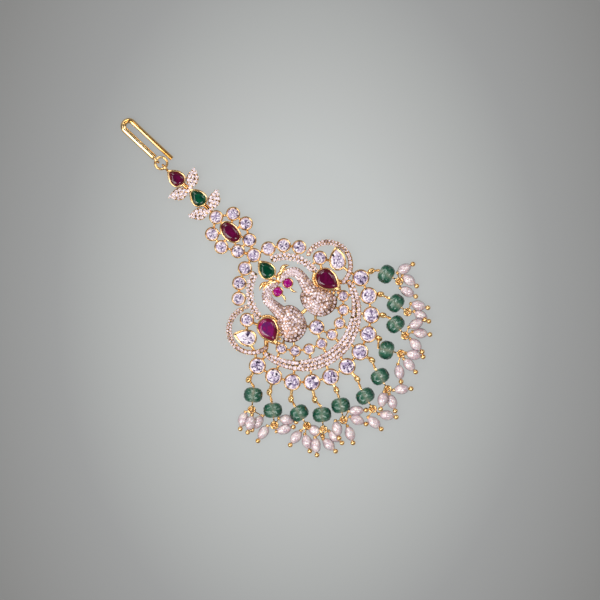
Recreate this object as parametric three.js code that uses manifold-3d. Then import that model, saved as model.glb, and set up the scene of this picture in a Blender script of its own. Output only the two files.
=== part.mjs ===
// A maang tikka, the South Indian forehead jewel, lying on its back. Millimetres, +Z up out of the
// jewel's face. +Y runs up the stem to the hair hook and +X to the viewer's right. The origin is on the
// flat back, under the centre stone, and every height is counted from that back.
import * as THREE from "three";
import { mergeVertices } from "three/addons/utils/BufferGeometryUtils.js";
import Module from "manifold-3d";

const wasm = await Module();
wasm.setup();

// Settings and stones
const SETTING_TOP = 2.0;
const TAIL_TOP = 2.6;
const TAIL_RUBY_TOP = 3.4;
const BEZEL_WALL = 0.3;
const STONE_CLEARANCE = 0.08;
const SEAT_DEPTH = 0.75;
const GIRDLE_DROP = 0.2;
const TABLE_RISE = 0.2;
const CROWN_WIDTH = 0.45;
const FRINGE_STONE_R = 1.4;
const CROWN_STONE_R = 1.13;
const FLOWER_STONE_R = 1.18;
const INNER_STONE_R = 0.85;
const CENTRE_STONE_R = 1.33;
const EYE_STONE_R = 1.0;
const TAIL_ROUND_R = 1.22;
const OVAL_R = 1.5;
const OVAL_TIP = 2.45;
const LINK_PEAR_R = 1.43;
const LINK_PEAR_TIP = 2.3;
const HEAD_PEAR_R = 1.5;
const HEAD_PEAR_TIP = 2.35;
const TAIL_RUBY_R = 1.93;
const TAIL_RUBY_TIP = 3.3;
const TAIL_PEAR_R = 1.5;
const TAIL_PEAR_TIP = 2.8;

// Flat work: the bands of small stones, and the solder between settings
const BAND_TOP = 1.7;
const SOLDER_TOP = 1.1;
const SOLDER_WIDTH = 0.55;
const TIE_WIDTH = 0.95;

// The pendant's crescent, and the rows that follow it
const CRESCENT_OUTER_R = 12.8;
const CRESCENT_OUTER_Y = 4.35;
const CRESCENT_WIDTH = 2.8;
const CRESCENT_INNER_SHARE = 0.9375;
const HORN_DROP = 1.25;
const FRINGE_GAP = 0.6;
const FRINGE_STEP = 16.3;
const INNER_GAP = 1.0;
const INNER_STEP = 17.4;
const INNER_COUNT = 8;

// The ring of stones over the birds, the arcade inside it and the wing loops
const CROWN_Y = 10.2;
const CROWN_R = 10.4;
const CROWN_STEP = 19.0;
const CROWN_COUNT = 7;
const CROWN_TOP_LIFT = 0.4;
const ARCADE_R = 7.9;
const ARCADE_WIDTH = 1.05;
const ARCADE_FROM = 2;
const ARCADE_TO = 74;
const WING_X = 11.0;
const WING_Y = 8.8;
const WING_R = 5.0;
const WING_WIDTH = 1.05;
const WING_FROM = -92;
const WING_TO = 108;

// Birds
const BODY_X = 3.6;
const BODY_Y = 4.6;
const BODY_R = 3.7;
const BODY_DOME = 1.5;
const NECK_HALF = 1.3;
const EYE_X = 1.45;
const EYE_Y = 11.4;
const BEAK_LENGTH = 1.75;
const BEAK_WIDTH = 0.9;
const CREST_LENGTH = 3.5;
const CREST_WIDTH = 1.3;
const CREST_RISE = 8;
const TAIL_RUBY_X = 8.35;
const TAIL_RUBY_Y = 7.15;
const TAIL_RUBY_TURN = 192;
const TAIL_ROUND_X = 10.55;
const TAIL_ROUND_Y = 11.25;
const TAIL_PEAR_X = 12.9;
const TAIL_PEAR_Y = 7.95;
const TAIL_PEAR_TURN = -34;
const HEAD_PEAR_Y = 16.35;

// Stem: a flower, and two pear links with a pair of leaves under each
const FLOWER_X = -0.62;
const FLOWER_Y = 28.2;
const FLOWER_TILT = 3.6;
const FLOWER_R = 4.35;
const EMERALD_X = -1.15;
const EMERALD_Y = 38.15;
const EMERALD_TILT = 3;
const RUBY_X = -1.95;
const RUBY_Y = 44.55;
const RUBY_TILT = 9;
const LEAF_LENGTH = 4.3;
const LEAF_WIDTH = 2.0;
const LEAF_DROP = 3.55;
const LEAF_SPREAD = 0.7;
const LEAF_RISE = 31;

// Wires, rings and the hook
const WIRE_D = 0.4;
const LOOP_R = 0.55;
const LUG_R = 0.58;
const LUG_LENGTH = 2.1;
const LUG_HEIGHT = 1.0;
const MEETING_GAP = 0.12;
const RING_R = 1.32;
const RING_WIRE_D = 0.5;
const RING_HEIGHT = 1.62;
const EYE_R = 0.75;
const HOOK_WIRE_D = 1.2;
const HOOK_LENGTH = 10.6;
const HOOK_RETURN = 2.7;
const HOOK_SPAN = 2.25;
const HOOK_TILT = 6.8;
const HOOK_SEAT = 110;

// Beads and pearls
const BEAD_D = 3.85;
const BEAD_LENGTH = 3.4;
const BEAD_HOLE_D = 0.7;
const LINK_LENGTH = 1.2;
const CLUSTER_R = 0.72;
const PEARL_D = 2.05;
const PEARL_LENGTH = 3.1;
const PEARL_BALL_D = 0.95;
const PIN_D = 0.3;
const PEARL_REACH = 1.5;

// Sides of round things
const STONE_SIDES = 10;
const SMALL_STONE_SIDES = 8;
const WIRE_SIDES = 5;
const EYE_STEPS = 6;
const EYE_OPEN = 60;
const EYE_TURN = 20;
const RING_STEPS = 10;
const BEND_STEPS = 7;
const HOOK_SIDES = 8;
const BEAD_SIDES = 10;

const rad = THREE.MathUtils.degToRad;
const flat = (x, y) => new THREE.Vector2(x, y);
const turned = (v, degrees) => v.clone().rotateAround(flat(0, 0), rad(degrees));
const up = (v, z) => new THREE.Vector3(v.x, v.y, z);
const spread = (count, step) => Array.from({ length: count }, (_, i) => (i - (count - 1) / 2) * step);
// A heading counts from straight down the jewel, positive towards +X.
const heading = (degrees) => flat(Math.sin(rad(degrees)), -Math.cos(rad(degrees)));
const goneFrom = (v, degrees, distance) => v.clone().addScaledVector(heading(degrees), distance);
const onCircle = (y, r, degrees) => goneFrom(flat(0, y), degrees, r);

// Solids and their joins
function solid(geometry) {
  const bare = geometry.index ? geometry.toNonIndexed() : geometry;
  const plain = new THREE.BufferGeometry().setAttribute("position", bare.getAttribute("position"));
  const merged = mergeVertices(plain, 1e-4);
  const vertProperties = merged.attributes.position.array;
  const triVerts = new Uint32Array(merged.index.array);
  return new wasm.Manifold(new wasm.Mesh({ numProp: 3, vertProperties, triVerts }));
}

function faceted(triangles) {
  const positions = new THREE.Float32BufferAttribute(triangles.flat().flatMap((p) => p.toArray()), 3);
  return solid(new THREE.BufferGeometry().setAttribute("position", positions));
}

function geometryOf(made) {
  const { vertProperties, triVerts } = made.getMesh();
  return new THREE.BufferGeometry()
    .setAttribute("position", new THREE.Float32BufferAttribute(vertProperties, 3))
    .setIndex([...triVerts])
    .toNonIndexed();
}

const joined = (pieces) => pieces.reduce((a, b) => a.add(b));

// A closed skin over rings of points, lowest or hindmost first, that all turn the same way round.
function lofted(rings) {
  const n = rings[0].length;
  const last = rings[rings.length - 1];
  const triangles = [];
  for (let i = 1; i + 1 < n; i++) {
    triangles.push([rings[0][0], rings[0][i + 1], rings[0][i]], [last[0], last[i], last[i + 1]]);
  }
  for (let k = 0; k + 1 < rings.length; k++) {
    const next = rings[k + 1];
    rings[k].forEach((p, i) => {
      const j = (i + 1) % n;
      triangles.push([p, rings[k][j], next[j]], [p, next[j], next[i]]);
    });
  }
  return faceted(triangles);
}

// Outlines of stones, each a function of how far it is grown outwards
const round = (r, sides = STONE_SIDES) => (grow) =>
  spread(sides, 360 / sides).map((degrees) => heading(degrees).multiplyScalar(r + grow));

const oval = (r, tip) => (grow) =>
  spread(12, 30).map((degrees) => heading(degrees).multiply(flat(r + grow, tip + grow)));

// The pear is an arc round its centre, with flanks that draw in to a tip at +Y. The tip grows faster than
// the arc.
const TIP_GROWTH = 1.5;
const pear = (r, tip) => (grow) => {
  const wide = r + grow;
  const reach = tip + TIP_GROWTH * grow;
  const arc = spread(7, 28).map((degrees) => heading(degrees).multiplyScalar(wide));
  const flank = [0.4, 0.75].map((share) => flat(wide * (1 - share ** 2), reach * share));
  return [...arc, ...flank, flat(0, reach), ...flank.map((p) => flat(-p.x, p.y)).reverse()];
};

const placed = (outline, at, turn = 0) => (grow) => outline(grow).map((p) => turned(p, turn).add(at));

// A profile's rows say how far the outline is grown and the height there, from the back up and over the top.
const raised = (outline, rows) => lofted(rows.map(({ grow, z }) => outline(grow).map((p) => up(p, z))));

const setting = (outline, top) =>
  raised(outline, [
    { grow: BEZEL_WALL, z: 0 },
    { grow: BEZEL_WALL, z: top },
  ]);

// The seat that is cut for a stone, and the stone that lies in it with a clearance all round.
const seat = (outline, top) =>
  raised(outline, [
    { grow: STONE_CLEARANCE, z: top - SEAT_DEPTH },
    { grow: STONE_CLEARANCE, z: top + BODY_DOME },
  ]);

const cutStone = (outline, top) =>
  raised(outline, [
    { grow: -CROWN_WIDTH, z: top - SEAT_DEPTH + STONE_CLEARANCE },
    { grow: 0, z: top - GIRDLE_DROP },
    { grow: -CROWN_WIDTH, z: top + TABLE_RISE },
  ]);

// A small setting with its stone fused in it: wall, rim, crown and table.
const setStone = (r, at, sides) =>
  raised(placed(round(r, sides), at), [
    { grow: BEZEL_WALL, z: 0 },
    { grow: BEZEL_WALL, z: SETTING_TOP },
    { grow: 0, z: SETTING_TOP - GIRDLE_DROP },
    { grow: -CROWN_WIDTH, z: SETTING_TOP + TABLE_RISE },
  ]);

// Flat work stands on the back.
const plate = (points, top) =>
  solid(new THREE.ExtrudeGeometry(new THREE.Shape(points), { depth: top, bevelEnabled: false }));

function bar(from, to, width = SOLDER_WIDTH) {
  const across = turned(to.clone().sub(from).setLength(width / 2), 90);
  const low = [from, to].map((p) => p.clone().sub(across));
  const high = [to, from].map((p) => p.clone().add(across));
  return plate([...low, ...high], SOLDER_TOP);
}

const chained = (points, width) => points.slice(1).map((p, i) => bar(points[i], p, width));

// A band that follows an arc about a point, on the side of the jewel that s names.
function band(x, y, r, width, from, to, s, steps) {
  const edge = (reach) => {
    const curve = new THREE.EllipseCurve(x, y, reach, reach, rad(from), rad(to));
    return curve.getPoints(steps).map((p) => flat(s * p.x, p.y));
  };
  return plate([...edge(r + width / 2), ...edge(r - width / 2).reverse()], BAND_TOP);
}

function wire(from, to, d) {
  const extrudePath = new THREE.LineCurve3(from, to);
  const section = new THREE.Shape(round(d / 2, WIRE_SIDES)(0));
  return solid(new THREE.ExtrudeGeometry(section, { extrudePath, steps: 1, bevelEnabled: false }));
}

// A lying ring is level. A standing ring's plane holds the heading and +Z.
const lyingRing = (at, z, r, d, steps) =>
  solid(new THREE.TorusGeometry(r, d / 2, WIRE_SIDES, steps).translate(at.x, at.y, z));

const standingRing = (at, z, r, d, degrees) =>
  solid(
    new THREE.TorusGeometry(r, d / 2, WIRE_SIDES, RING_STEPS)
      .rotateX(Math.PI / 2)
      .rotateZ(rad(degrees + 90))
      .translate(at.x, at.y, z),
  );

// A wire, or a round thing on one, that follows a line of points with a diameter at each. Its section
// starts with one side turned towards the given direction.
function bentWire(points, side, diameters = points.map(() => WIRE_D), sides = WIRE_SIDES) {
  const normal = side.clone();
  const rings = points.map((p, i) => {
    const before = points[Math.max(i - 1, 0)];
    const along = points[Math.min(i + 1, points.length - 1)].clone().sub(before).normalize();
    normal.addScaledVector(along, -normal.dot(along)).normalize();
    const across = along.clone().cross(normal);
    return round(diameters[i] / 2, sides)(0).map((out) =>
      p.clone().addScaledVector(normal, out.x).addScaledVector(across, out.y),
    );
  });
  return lofted(rings);
}

// An eye at the end of a wire: most of a circle, open beside the wire. along is the way that the wire runs
// on from the eye, and over the direction that the eye first turns to.
function eyePoints(middle, r, along, over) {
  const angles = spread(EYE_STEPS + 1, (360 - EYE_OPEN - EYE_TURN) / EYE_STEPS);
  const point = (angle) => {
    const a = rad(180 + (EYE_OPEN - EYE_TURN) / 2 + angle);
    return middle.clone().addScaledVector(along, r * Math.cos(a)).addScaledVector(over, r * Math.sin(a));
  };
  return [...angles.map(point), middle.clone().addScaledVector(along, r + WIRE_D)];
}

// Finishes, and the group that the pieces go into
const FINISH = {
  gold: { color: 0xd9a548, roughness: 0.22, metalness: 1.0 },
  ruby: { color: 0x7a0a3c, roughness: 0.08, metalness: 0.0 },
  emerald: { color: 0x0c5a3c, roughness: 0.08, metalness: 0.0 },
  white: { color: 0xe6dcea, roughness: 0.05, metalness: 0.0 },
  bead: { color: 0x2f7a5c, roughness: 0.25, metalness: 0.0 },
  pearl: { color: 0xd9bfc4, roughness: 0.3, metalness: 0.0 },
};
const jewel = new THREE.Group();

function add(name, made, finish) {
  const mesh = new THREE.Mesh(geometryOf(made), new THREE.MeshStandardMaterial(FINISH[finish]));
  mesh.name = name;
  jewel.add(mesh);
}

// How each drop lies, from the viewer's left to right. Headings are in degrees. lug and link are shares of
// LUG_LENGTH and LINK_LENGTH. A pearl starts from its small ring at a heading and a share of PEARL_REACH,
// points its own way, and lies lifted by a share of its width on what is under it.
const DROPS = [
  {
    lugWay: -72, lug: 1.0, linkWay: -4, link: 0.7, beadWay: -46,
    pearls: [
      { at: -110, reach: 1.0, way: -57, lift: 0.1 },
      { at: -38, reach: 0.8, way: -54, lift: 0.75 },
      { at: 19, reach: 1.8, way: -77, lift: 0 },
    ],
  },
  {
    lugWay: -56, lug: 1.0, linkWay: -27, link: 0.95, beadWay: -34,
    pearls: [
      { at: -122, reach: 1.05, way: -73, lift: 0 },
      { at: -22, reach: 1.0, way: 65, lift: 0 },
      { at: 105, reach: 1.2, way: 38, lift: 0 },
    ],
  },
  {
    lugWay: -46, lug: 1.1, linkWay: -11, link: 0.5, beadWay: -9,
    pearls: [
      { at: -91, reach: 1.2, way: -77, lift: 0.1 },
      { at: -54, reach: 1.3, way: -24, lift: 0 },
      { at: 30, reach: 0.2, way: 15, lift: 0 },
    ],
  },
  {
    lugWay: -33, lug: 1.15, linkWay: 2, link: 0.75, beadWay: -34,
    pearls: [
      { at: -87, reach: 1.7, way: -34, lift: 0.7 },
      { at: -42, reach: 1.4, way: 5, lift: 0 },
      { at: 31, reach: 0.85, way: 8, lift: 0 },
    ],
  },
  {
    lugWay: -20, lug: 0.8, linkWay: -21, link: 0.45, beadWay: -29,
    pearls: [
      { at: -124, reach: 1.2, way: -28, lift: 0.75 },
      { at: -8, reach: 1.1, way: -22, lift: 0 },
      { at: 75, reach: 1.1, way: 25, lift: 0 },
      { at: 110, reach: 1.55, way: 52, lift: 0.1 },
    ],
  },
  {
    lugWay: -5, lug: 0.95, linkWay: -20, link: 1.0, beadWay: -10,
    pearls: [
      { at: -68, reach: 1.4, way: 8, lift: 0 },
      { at: 12, reach: 1.2, way: 39, lift: 0 },
    ],
  },
  {
    lugWay: 10, lug: 0.75, linkWay: -19, link: 0.9, beadWay: -9,
    pearls: [
      { at: -95, reach: 0.65, way: -52, lift: 0.65 },
      { at: -24, reach: 0.8, way: -20, lift: 0 },
      { at: 43, reach: 0.9, way: 54, lift: 0 },
    ],
  },
  {
    lugWay: 21, lug: 0.38, linkWay: -42, link: 0.85, beadWay: 36,
    pearls: [
      { at: -56, reach: 1.65, way: -30, lift: 0 },
      { at: -12, reach: 0.9, way: 2, lift: 0 },
      { at: 54, reach: 0.75, way: 38, lift: 0 },
    ],
  },
  {
    lugWay: 42, lug: 0.38, linkWay: 28, link: 0.45, beadWay: 0,
    pearls: [
      { at: 16, reach: 0.9, way: 3, lift: 0 },
      { at: 76, reach: 1.25, way: 41, lift: 0 },
      { at: 116, reach: 1.4, way: 74, lift: 0.75 },
    ],
  },
  {
    lugWay: 50, lug: 0.38, linkWay: 24, link: 0.75, beadWay: 13,
    pearls: [
      { at: 54, reach: 1.0, way: 16, lift: 0 },
      { at: 117, reach: 1.35, way: 36, lift: 0 },
    ],
  },
  {
    lugWay: 78, lug: 0.38, linkWay: 56, link: 0.45, beadWay: 21,
    pearls: [
      { at: 150, reach: 1.3, way: 79, lift: 0 },
      { at: 109, reach: 0.95, way: 14, lift: 0 },
      { at: -30, reach: 1.0, way: 21, lift: 0 },
    ],
  },
];

// The crescent's inner circle, which leaves CRESCENT_WIDTH in the middle, and the height of its horns
const crescentInnerR = CRESCENT_OUTER_R * CRESCENT_INNER_SHARE;
const crescentInnerY = CRESCENT_OUTER_Y - CRESCENT_OUTER_R + CRESCENT_WIDTH + crescentInnerR;
const hornY = CRESCENT_OUTER_Y - HORN_DROP;

// Where the settings lie
const crownBezelR = CROWN_STONE_R + BEZEL_WALL;
const fringeBezelR = FRINGE_STONE_R + BEZEL_WALL;
const fringeR = CRESCENT_OUTER_R + FRINGE_GAP + fringeBezelR;
const innerR = crescentInnerR - INNER_GAP - INNER_STONE_R - BEZEL_WALL;
const fringeTurns = spread(DROPS.length, FRINGE_STEP);
const innerTurns = spread(INNER_COUNT, INNER_STEP);
const crownTurns = spread(CROWN_COUNT, CROWN_STEP).map((turn) => 180 + turn);
const crownMiddle = (CROWN_COUNT - 1) / 2;
const fringeSpots = fringeTurns.map((turn) => onCircle(CRESCENT_OUTER_Y, fringeR, turn));
const innerSpots = innerTurns.map((turn) => onCircle(crescentInnerY, innerR, turn));
const crownReaches = crownTurns.map((_, i) => CROWN_R + (i === crownMiddle ? CROWN_TOP_LIFT : 0));
const crownSpots = crownTurns.map((turn, i) => onCircle(CROWN_Y, crownReaches[i], turn));
const crownTop = crownSpots[crownMiddle];

// The stones that are pieces of their own: outline in place, height of the setting round it, and finish
const flowerAt = flat(FLOWER_X, FLOWER_Y);
const emeraldAt = flat(EMERALD_X, EMERALD_Y);
const rubyAt = flat(RUBY_X, RUBY_Y);
const linkPear = pear(LINK_PEAR_R, LINK_PEAR_TIP);
const STONES = {
  top_ruby: { outline: placed(linkPear, rubyAt, RUBY_TILT), top: SETTING_TOP, finish: "ruby" },
  link_emerald: { outline: placed(linkPear, emeraldAt, EMERALD_TILT), top: SETTING_TOP, finish: "emerald" },
  flower_ruby: {
    outline: placed(oval(OVAL_R, OVAL_TIP), flowerAt, FLOWER_TILT),
    top: SETTING_TOP,
    finish: "ruby",
  },
  head_emerald: {
    outline: placed(pear(HEAD_PEAR_R, HEAD_PEAR_TIP), flat(0, HEAD_PEAR_Y)),
    top: SETTING_TOP,
    finish: "emerald",
  },
  centre_stone: { outline: placed(round(CENTRE_STONE_R), flat(0, 0)), top: SETTING_TOP, finish: "white" },
};
for (const [name, s] of [["left", -1], ["right", 1]]) {
  const tailRuby = pear(TAIL_RUBY_R, TAIL_RUBY_TIP);
  const tailPear = pear(TAIL_PEAR_R, TAIL_PEAR_TIP);
  const rubySpot = flat(s * TAIL_RUBY_X, TAIL_RUBY_Y);
  const pearSpot = flat(s * TAIL_PEAR_X, TAIL_PEAR_Y);
  const eye = placed(round(EYE_STONE_R, SMALL_STONE_SIDES), flat(s * EYE_X, EYE_Y));
  const tailRound = placed(round(TAIL_ROUND_R), flat(s * TAIL_ROUND_X, TAIL_ROUND_Y));
  STONES[`eye_ruby_${name}`] = { outline: eye, top: SETTING_TOP, finish: "ruby" };
  STONES[`tail_ruby_${name}`] = {
    outline: placed(tailRuby, rubySpot, s * TAIL_RUBY_TURN),
    top: TAIL_RUBY_TOP,
    finish: "ruby",
  };
  STONES[`tail_pear_${name}`] = {
    outline: placed(tailPear, pearSpot, s * TAIL_PEAR_TURN),
    top: TAIL_TOP,
    finish: "white",
  };
  STONES[`tail_round_${name}`] = { outline: tailRound, top: TAIL_TOP, finish: "white" };
}

// The crescent lies between two circles, up to its horns.
function crescent() {
  const edge = (r, y) => {
    const half = Math.acos((y - hornY) / r);
    return new THREE.EllipseCurve(0, y, r, r, -Math.PI / 2 - half, -Math.PI / 2 + half).getPoints(20);
  };
  const inner = edge(crescentInnerR, crescentInnerY).reverse();
  return plate([...edge(CRESCENT_OUTER_R, CRESCENT_OUTER_Y), ...inner], BAND_TOP);
}

// The bird's body: its reach every 30 degrees round from its outer side, as shares of BODY_R
const BODY_REACHES = [0.86, 0.84, 0.9, 0.98, 1.0, 0.86, 0.76, 0.78, 0.88, 0.98, 1.1, 1.12];
const DOME_ROWS = [
  { drawnIn: 0, lift: 0 },
  { drawnIn: 0.14, lift: 0.45 },
  { drawnIn: 0.38, lift: 0.8 },
  { drawnIn: 0.68, lift: 1 },
];

function birdBody(s) {
  const ring = (drawnIn, z) => {
    const points = BODY_REACHES.map((share, i) => {
      const out = turned(flat(BODY_R * share * (1 - drawnIn), 0), 30 * i);
      return new THREE.Vector3(s * (BODY_X + out.x), BODY_Y + out.y, z);
    });
    return s > 0 ? points : points.reverse();
  };
  const dome = DOME_ROWS.map(({ drawnIn, lift }) => ring(drawnIn, BAND_TOP + BODY_DOME * lift));
  return lofted([ring(0, 0), ...dome]);
}

// The neck rises off the body and arches forward over the eye: its places as shares of BODY_R from the
// body's middle, half its width as a share of NECK_HALF, and its ridge as a share of BODY_DOME
const NECK_ROWS = [
  { out: 0.24, along: 0.7, half: 1.1, ridge: 0.85 },
  { out: 0.34, along: 1.24, half: 1.0, ridge: 0.65 },
  { out: 0.33, along: 1.72, half: 0.94, ridge: 0.55 },
  { out: 0.16, along: 2.1, half: 0.8, ridge: 0.45 },
  { out: -0.19, along: 2.31, half: 0.55, ridge: 0.4 },
  { out: -0.5, along: 2.27, half: 0.4, ridge: 0.35 },
];

function birdNeck(s) {
  const spots = NECK_ROWS.map(({ out, along }) => flat(BODY_X + BODY_R * out, BODY_Y + BODY_R * along));
  const rings = NECK_ROWS.map(({ half, ridge }, i) => {
    const before = spots[Math.max(i - 1, 0)];
    const after = spots[Math.min(i + 1, spots.length - 1)];
    const across = turned(after.clone().sub(before).setLength(NECK_HALF * half), 90);
    const corner = (share, z) => {
      const p = spots[i].clone().addScaledVector(across, share);
      return new THREE.Vector3(s * p.x, p.y, z);
    };
    const crown = BAND_TOP + BODY_DOME * ridge;
    const outer = [corner(-1, 0), corner(-1, BAND_TOP), corner(-0.5, crown)];
    const ring = [...outer, corner(0.5, crown), corner(1, BAND_TOP), corner(1, 0)];
    return s > 0 ? ring.reverse() : ring;
  });
  return lofted(rings);
}

// A crest swept back from the head and a beak under the eye. Both start from places round the eye, counted
// outwards and up in shares of its setting's radius.
const CREST_ROOT = { out: -0.3, rise: 1.7 };
const CREST_WIDEST = 0.4;
const BEAK_ROOT = { out: -0.4, rise: -0.8 };

function birdTrim(s) {
  const eyeEdge = EYE_STONE_R + BEZEL_WALL;
  const fromEye = ({ out, rise }) => flat(s * (EYE_X + eyeEdge * out), EYE_Y + eyeEdge * rise);
  const crestRoot = fromEye(CREST_ROOT);
  const crestWay = turned(flat(s, 0), s * CREST_RISE);
  const crestSide = flat(0, CREST_WIDTH / 2);
  const crestTip = crestRoot.clone().addScaledVector(crestWay, CREST_LENGTH);
  const crestMiddle = crestRoot.clone().addScaledVector(crestWay, CREST_LENGTH * CREST_WIDEST);
  const crest = [crestRoot, crestMiddle.clone().sub(crestSide), crestTip, crestMiddle.clone().add(crestSide)];
  const beakRoot = fromEye(BEAK_ROOT);
  const beakSide = flat(BEAK_WIDTH / 2, 0);
  const beakTip = beakRoot.clone().add(flat(s * BEAK_WIDTH, -BEAK_LENGTH));
  const beak = [beakRoot.clone().sub(beakSide), beakTip, beakRoot.clone().add(beakSide)];
  return [plate(crest, SETTING_TOP), plate(beak, SETTING_TOP)];
}

// Bars of solder that carry the tail stones, the wing loop and the bodies. The wing is tied at one angle
// round it, and the arcade at one heading from its top.
const WING_TIE = 58;
const ARCADE_TIE = 84;

function birdSolder(s) {
  const body = flat(s * BODY_X, BODY_Y);
  const tailRound = flat(s * TAIL_ROUND_X, TAIL_ROUND_Y);
  const tailPear = flat(s * TAIL_PEAR_X, TAIL_PEAR_Y);
  const tailRuby = flat(s * TAIL_RUBY_X, TAIL_RUBY_Y);
  const wingFoot = flat(s * WING_X, WING_Y - WING_R);
  const wingSide = flat(s * WING_X, WING_Y).add(turned(flat(s * WING_R, 0), -s * WING_TIE));
  const horn = flat(s * (CRESCENT_OUTER_R - BEZEL_WALL), hornY - BEZEL_WALL);
  const inner = s > 0 ? innerSpots.slice(-2) : innerSpots.slice(0, 2).reverse();
  const fringeEnd = s > 0 ? fringeSpots.at(-1) : fringeSpots[0];
  return [
    ...chained([flat(0, 0), body, inner[0]]),
    ...chained([body, tailRuby, wingFoot, horn], TIE_WIDTH),
    ...chained([tailRuby, tailRound, tailPear, wingSide, fringeEnd]),
    bar(tailRound, onCircle(CROWN_Y, ARCADE_R, 180 - s * ARCADE_TIE)),
    bar(flat(s * EYE_X, EYE_Y), flat(0, HEAD_PEAR_Y)),
  ];
}

// A lug on each lower setting, whose lying eye carries a drop
const lugSpots = fringeSpots.map((at, i) =>
  goneFrom(at, DROPS[i].lugWay, fringeBezelR + LUG_LENGTH * DROPS[i].lug),
);

function lug(index) {
  const { lugWay } = DROPS[index];
  const root = up(goneFrom(fringeSpots[index], lugWay, fringeBezelR - BEZEL_WALL / 2), LUG_HEIGHT);
  const back = up(heading(lugWay + 180), 0);
  const eye = eyePoints(up(lugSpots[index], LUG_HEIGHT), LUG_R, back, up(heading(lugWay + 90), 0));
  return bentWire([...eye, root], new THREE.Vector3(0, 0, 1));
}

function pendant() {
  const fringeTies = fringeTurns.map((turn) => onCircle(CRESCENT_OUTER_Y, CRESCENT_OUTER_R - BEZEL_WALL, turn));
  const innerTies = innerTurns.map((turn) => onCircle(crescentInnerY, crescentInnerR + BEZEL_WALL, turn));
  const crownTies = crownTurns.map((turn) => onCircle(CROWN_Y, ARCADE_R, turn));
  const arcade = (s) => band(0, CROWN_Y, ARCADE_R, ARCADE_WIDTH, ARCADE_FROM, ARCADE_TO, s, 8);
  const wing = (s) => band(WING_X, WING_Y, WING_R, WING_WIDTH, WING_FROM, WING_TO, s, 15);
  return [
    crescent(),
    ...fringeSpots.map((at) => setStone(FRINGE_STONE_R, at, STONE_SIDES)),
    ...innerSpots.map((at) => setStone(INNER_STONE_R, at, SMALL_STONE_SIDES)),
    ...crownSpots.map((at) => setStone(CROWN_STONE_R, at, SMALL_STONE_SIDES)),
    ...chained(crownSpots.slice(crownMiddle - 1, crownMiddle + 2)),
    ...fringeSpots.map((at, i) => bar(at, fringeTies[i])),
    ...innerSpots.map((at, i) => bar(at, innerTies[i])),
    ...crownSpots.map((at, i) => bar(at, crownTies[i])).filter((_, i) => i !== crownMiddle),
    bar(flat(BODY_X, BODY_Y), flat(-BODY_X, BODY_Y), TIE_WIDTH),
    ...[1, -1].flatMap((s) => [arcade(s), wing(s), birdBody(s), birdNeck(s)]),
    ...[1, -1].flatMap((s) => [...birdTrim(s), ...birdSolder(s)]),
    ...DROPS.map((_, i) => lug(i)),
  ];
}

// A pair of leaves under a pear link, tied at their foot to the pear and, higher up by a share of LEAF_DROP,
// to each leaf
const LEAF_TIE = 0.8;
const LEAF_EDGE = [
  { along: 0, half: 0 },
  { along: 0.25, half: 0.4 },
  { along: 0.5, half: 0.5 },
  { along: 0.78, half: 0.33 },
  { along: 1, half: 0 },
];

function leafPair(at, tilt) {
  const leaf = (s) => {
    const root = flat(s * LEAF_SPREAD, -LEAF_DROP);
    const edge = (sign) =>
      LEAF_EDGE.map(({ along, half }) => {
        const p = turned(flat(LEAF_LENGTH * along, sign * LEAF_WIDTH * half), LEAF_RISE);
        return turned(flat(s * p.x, p.y).add(root), tilt).add(at);
      });
    return plate([...edge(-1), ...edge(1).slice(1, -1).reverse()], BAND_TOP);
  };
  const foot = turned(flat(0, -LEAF_DROP), tilt).add(at);
  const leafTie = (s) => turned(flat(s * (LEAF_SPREAD + LEAF_WIDTH / 2), -LEAF_DROP * LEAF_TIE), tilt).add(at);
  return [leaf(1), leaf(-1), ...[leafTie(1), leafTie(-1), at].map((end) => bar(foot, end, TIE_WIDTH))];
}

// The flower's stones, by heading and the distance as a share of FLOWER_R, and what else each is tied to
const FLOWER_SPOTS = [
  { angle: 180, reach: 1.04, tie: "middle" },
  { angle: 127.5, reach: 0.93, tie: "none" },
  { angle: 75, reach: 0.89, tie: "middle" },
  { angle: 23, reach: 1.04, tie: "pendant" },
  { angle: -23, reach: 1.04, tie: "pendant" },
  { angle: -75, reach: 0.89, tie: "middle" },
  { angle: -127.5, reach: 0.93, tie: "none" },
];
const petals = FLOWER_SPOTS.map(({ angle, reach }) =>
  goneFrom(flowerAt, angle + FLOWER_TILT, FLOWER_R * reach),
);
const tiedTo = (what) => petals.filter((_, i) => FLOWER_SPOTS[i].tie === what);

const eyeGap = EYE_R + RING_WIRE_D / 2;
const rubyTip = turned(flat(0, LINK_PEAR_TIP + TIP_GROWTH * BEZEL_WALL), RUBY_TILT).add(rubyAt);
const stemEye = goneFrom(rubyTip, 180, eyeGap);
const ringAt = goneFrom(stemEye, 180, RING_R);

function stem() {
  const lower = tiedTo("pendant").map((at) => {
    const reach = crownTop.clone().sub(at);
    return bar(at, at.clone().add(reach.setLength(reach.length() - crownBezelR + BEZEL_WALL)));
  });
  const wireFoot = up(goneFrom(rubyTip, 0, eyeGap), SOLDER_TOP);
  const wireHead = up(goneFrom(stemEye, 0, EYE_R), RING_HEIGHT);
  return [
    ...petals.map((at) => setStone(FLOWER_STONE_R, at, SMALL_STONE_SIDES)),
    ...chained([...petals, petals[0]]),
    ...tiedTo("middle").map((at) => bar(at, flowerAt)),
    ...lower,
    ...leafPair(emeraldAt, EMERALD_TILT),
    ...leafPair(rubyAt, RUBY_TILT),
    bar(petals[0], emeraldAt, TIE_WIDTH),
    bar(emeraldAt, rubyAt, TIE_WIDTH),
    wire(wireFoot, wireHead, RING_WIRE_D),
    standingRing(stemEye, RING_HEIGHT, EYE_R, RING_WIRE_D, 0),
  ];
}

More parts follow.
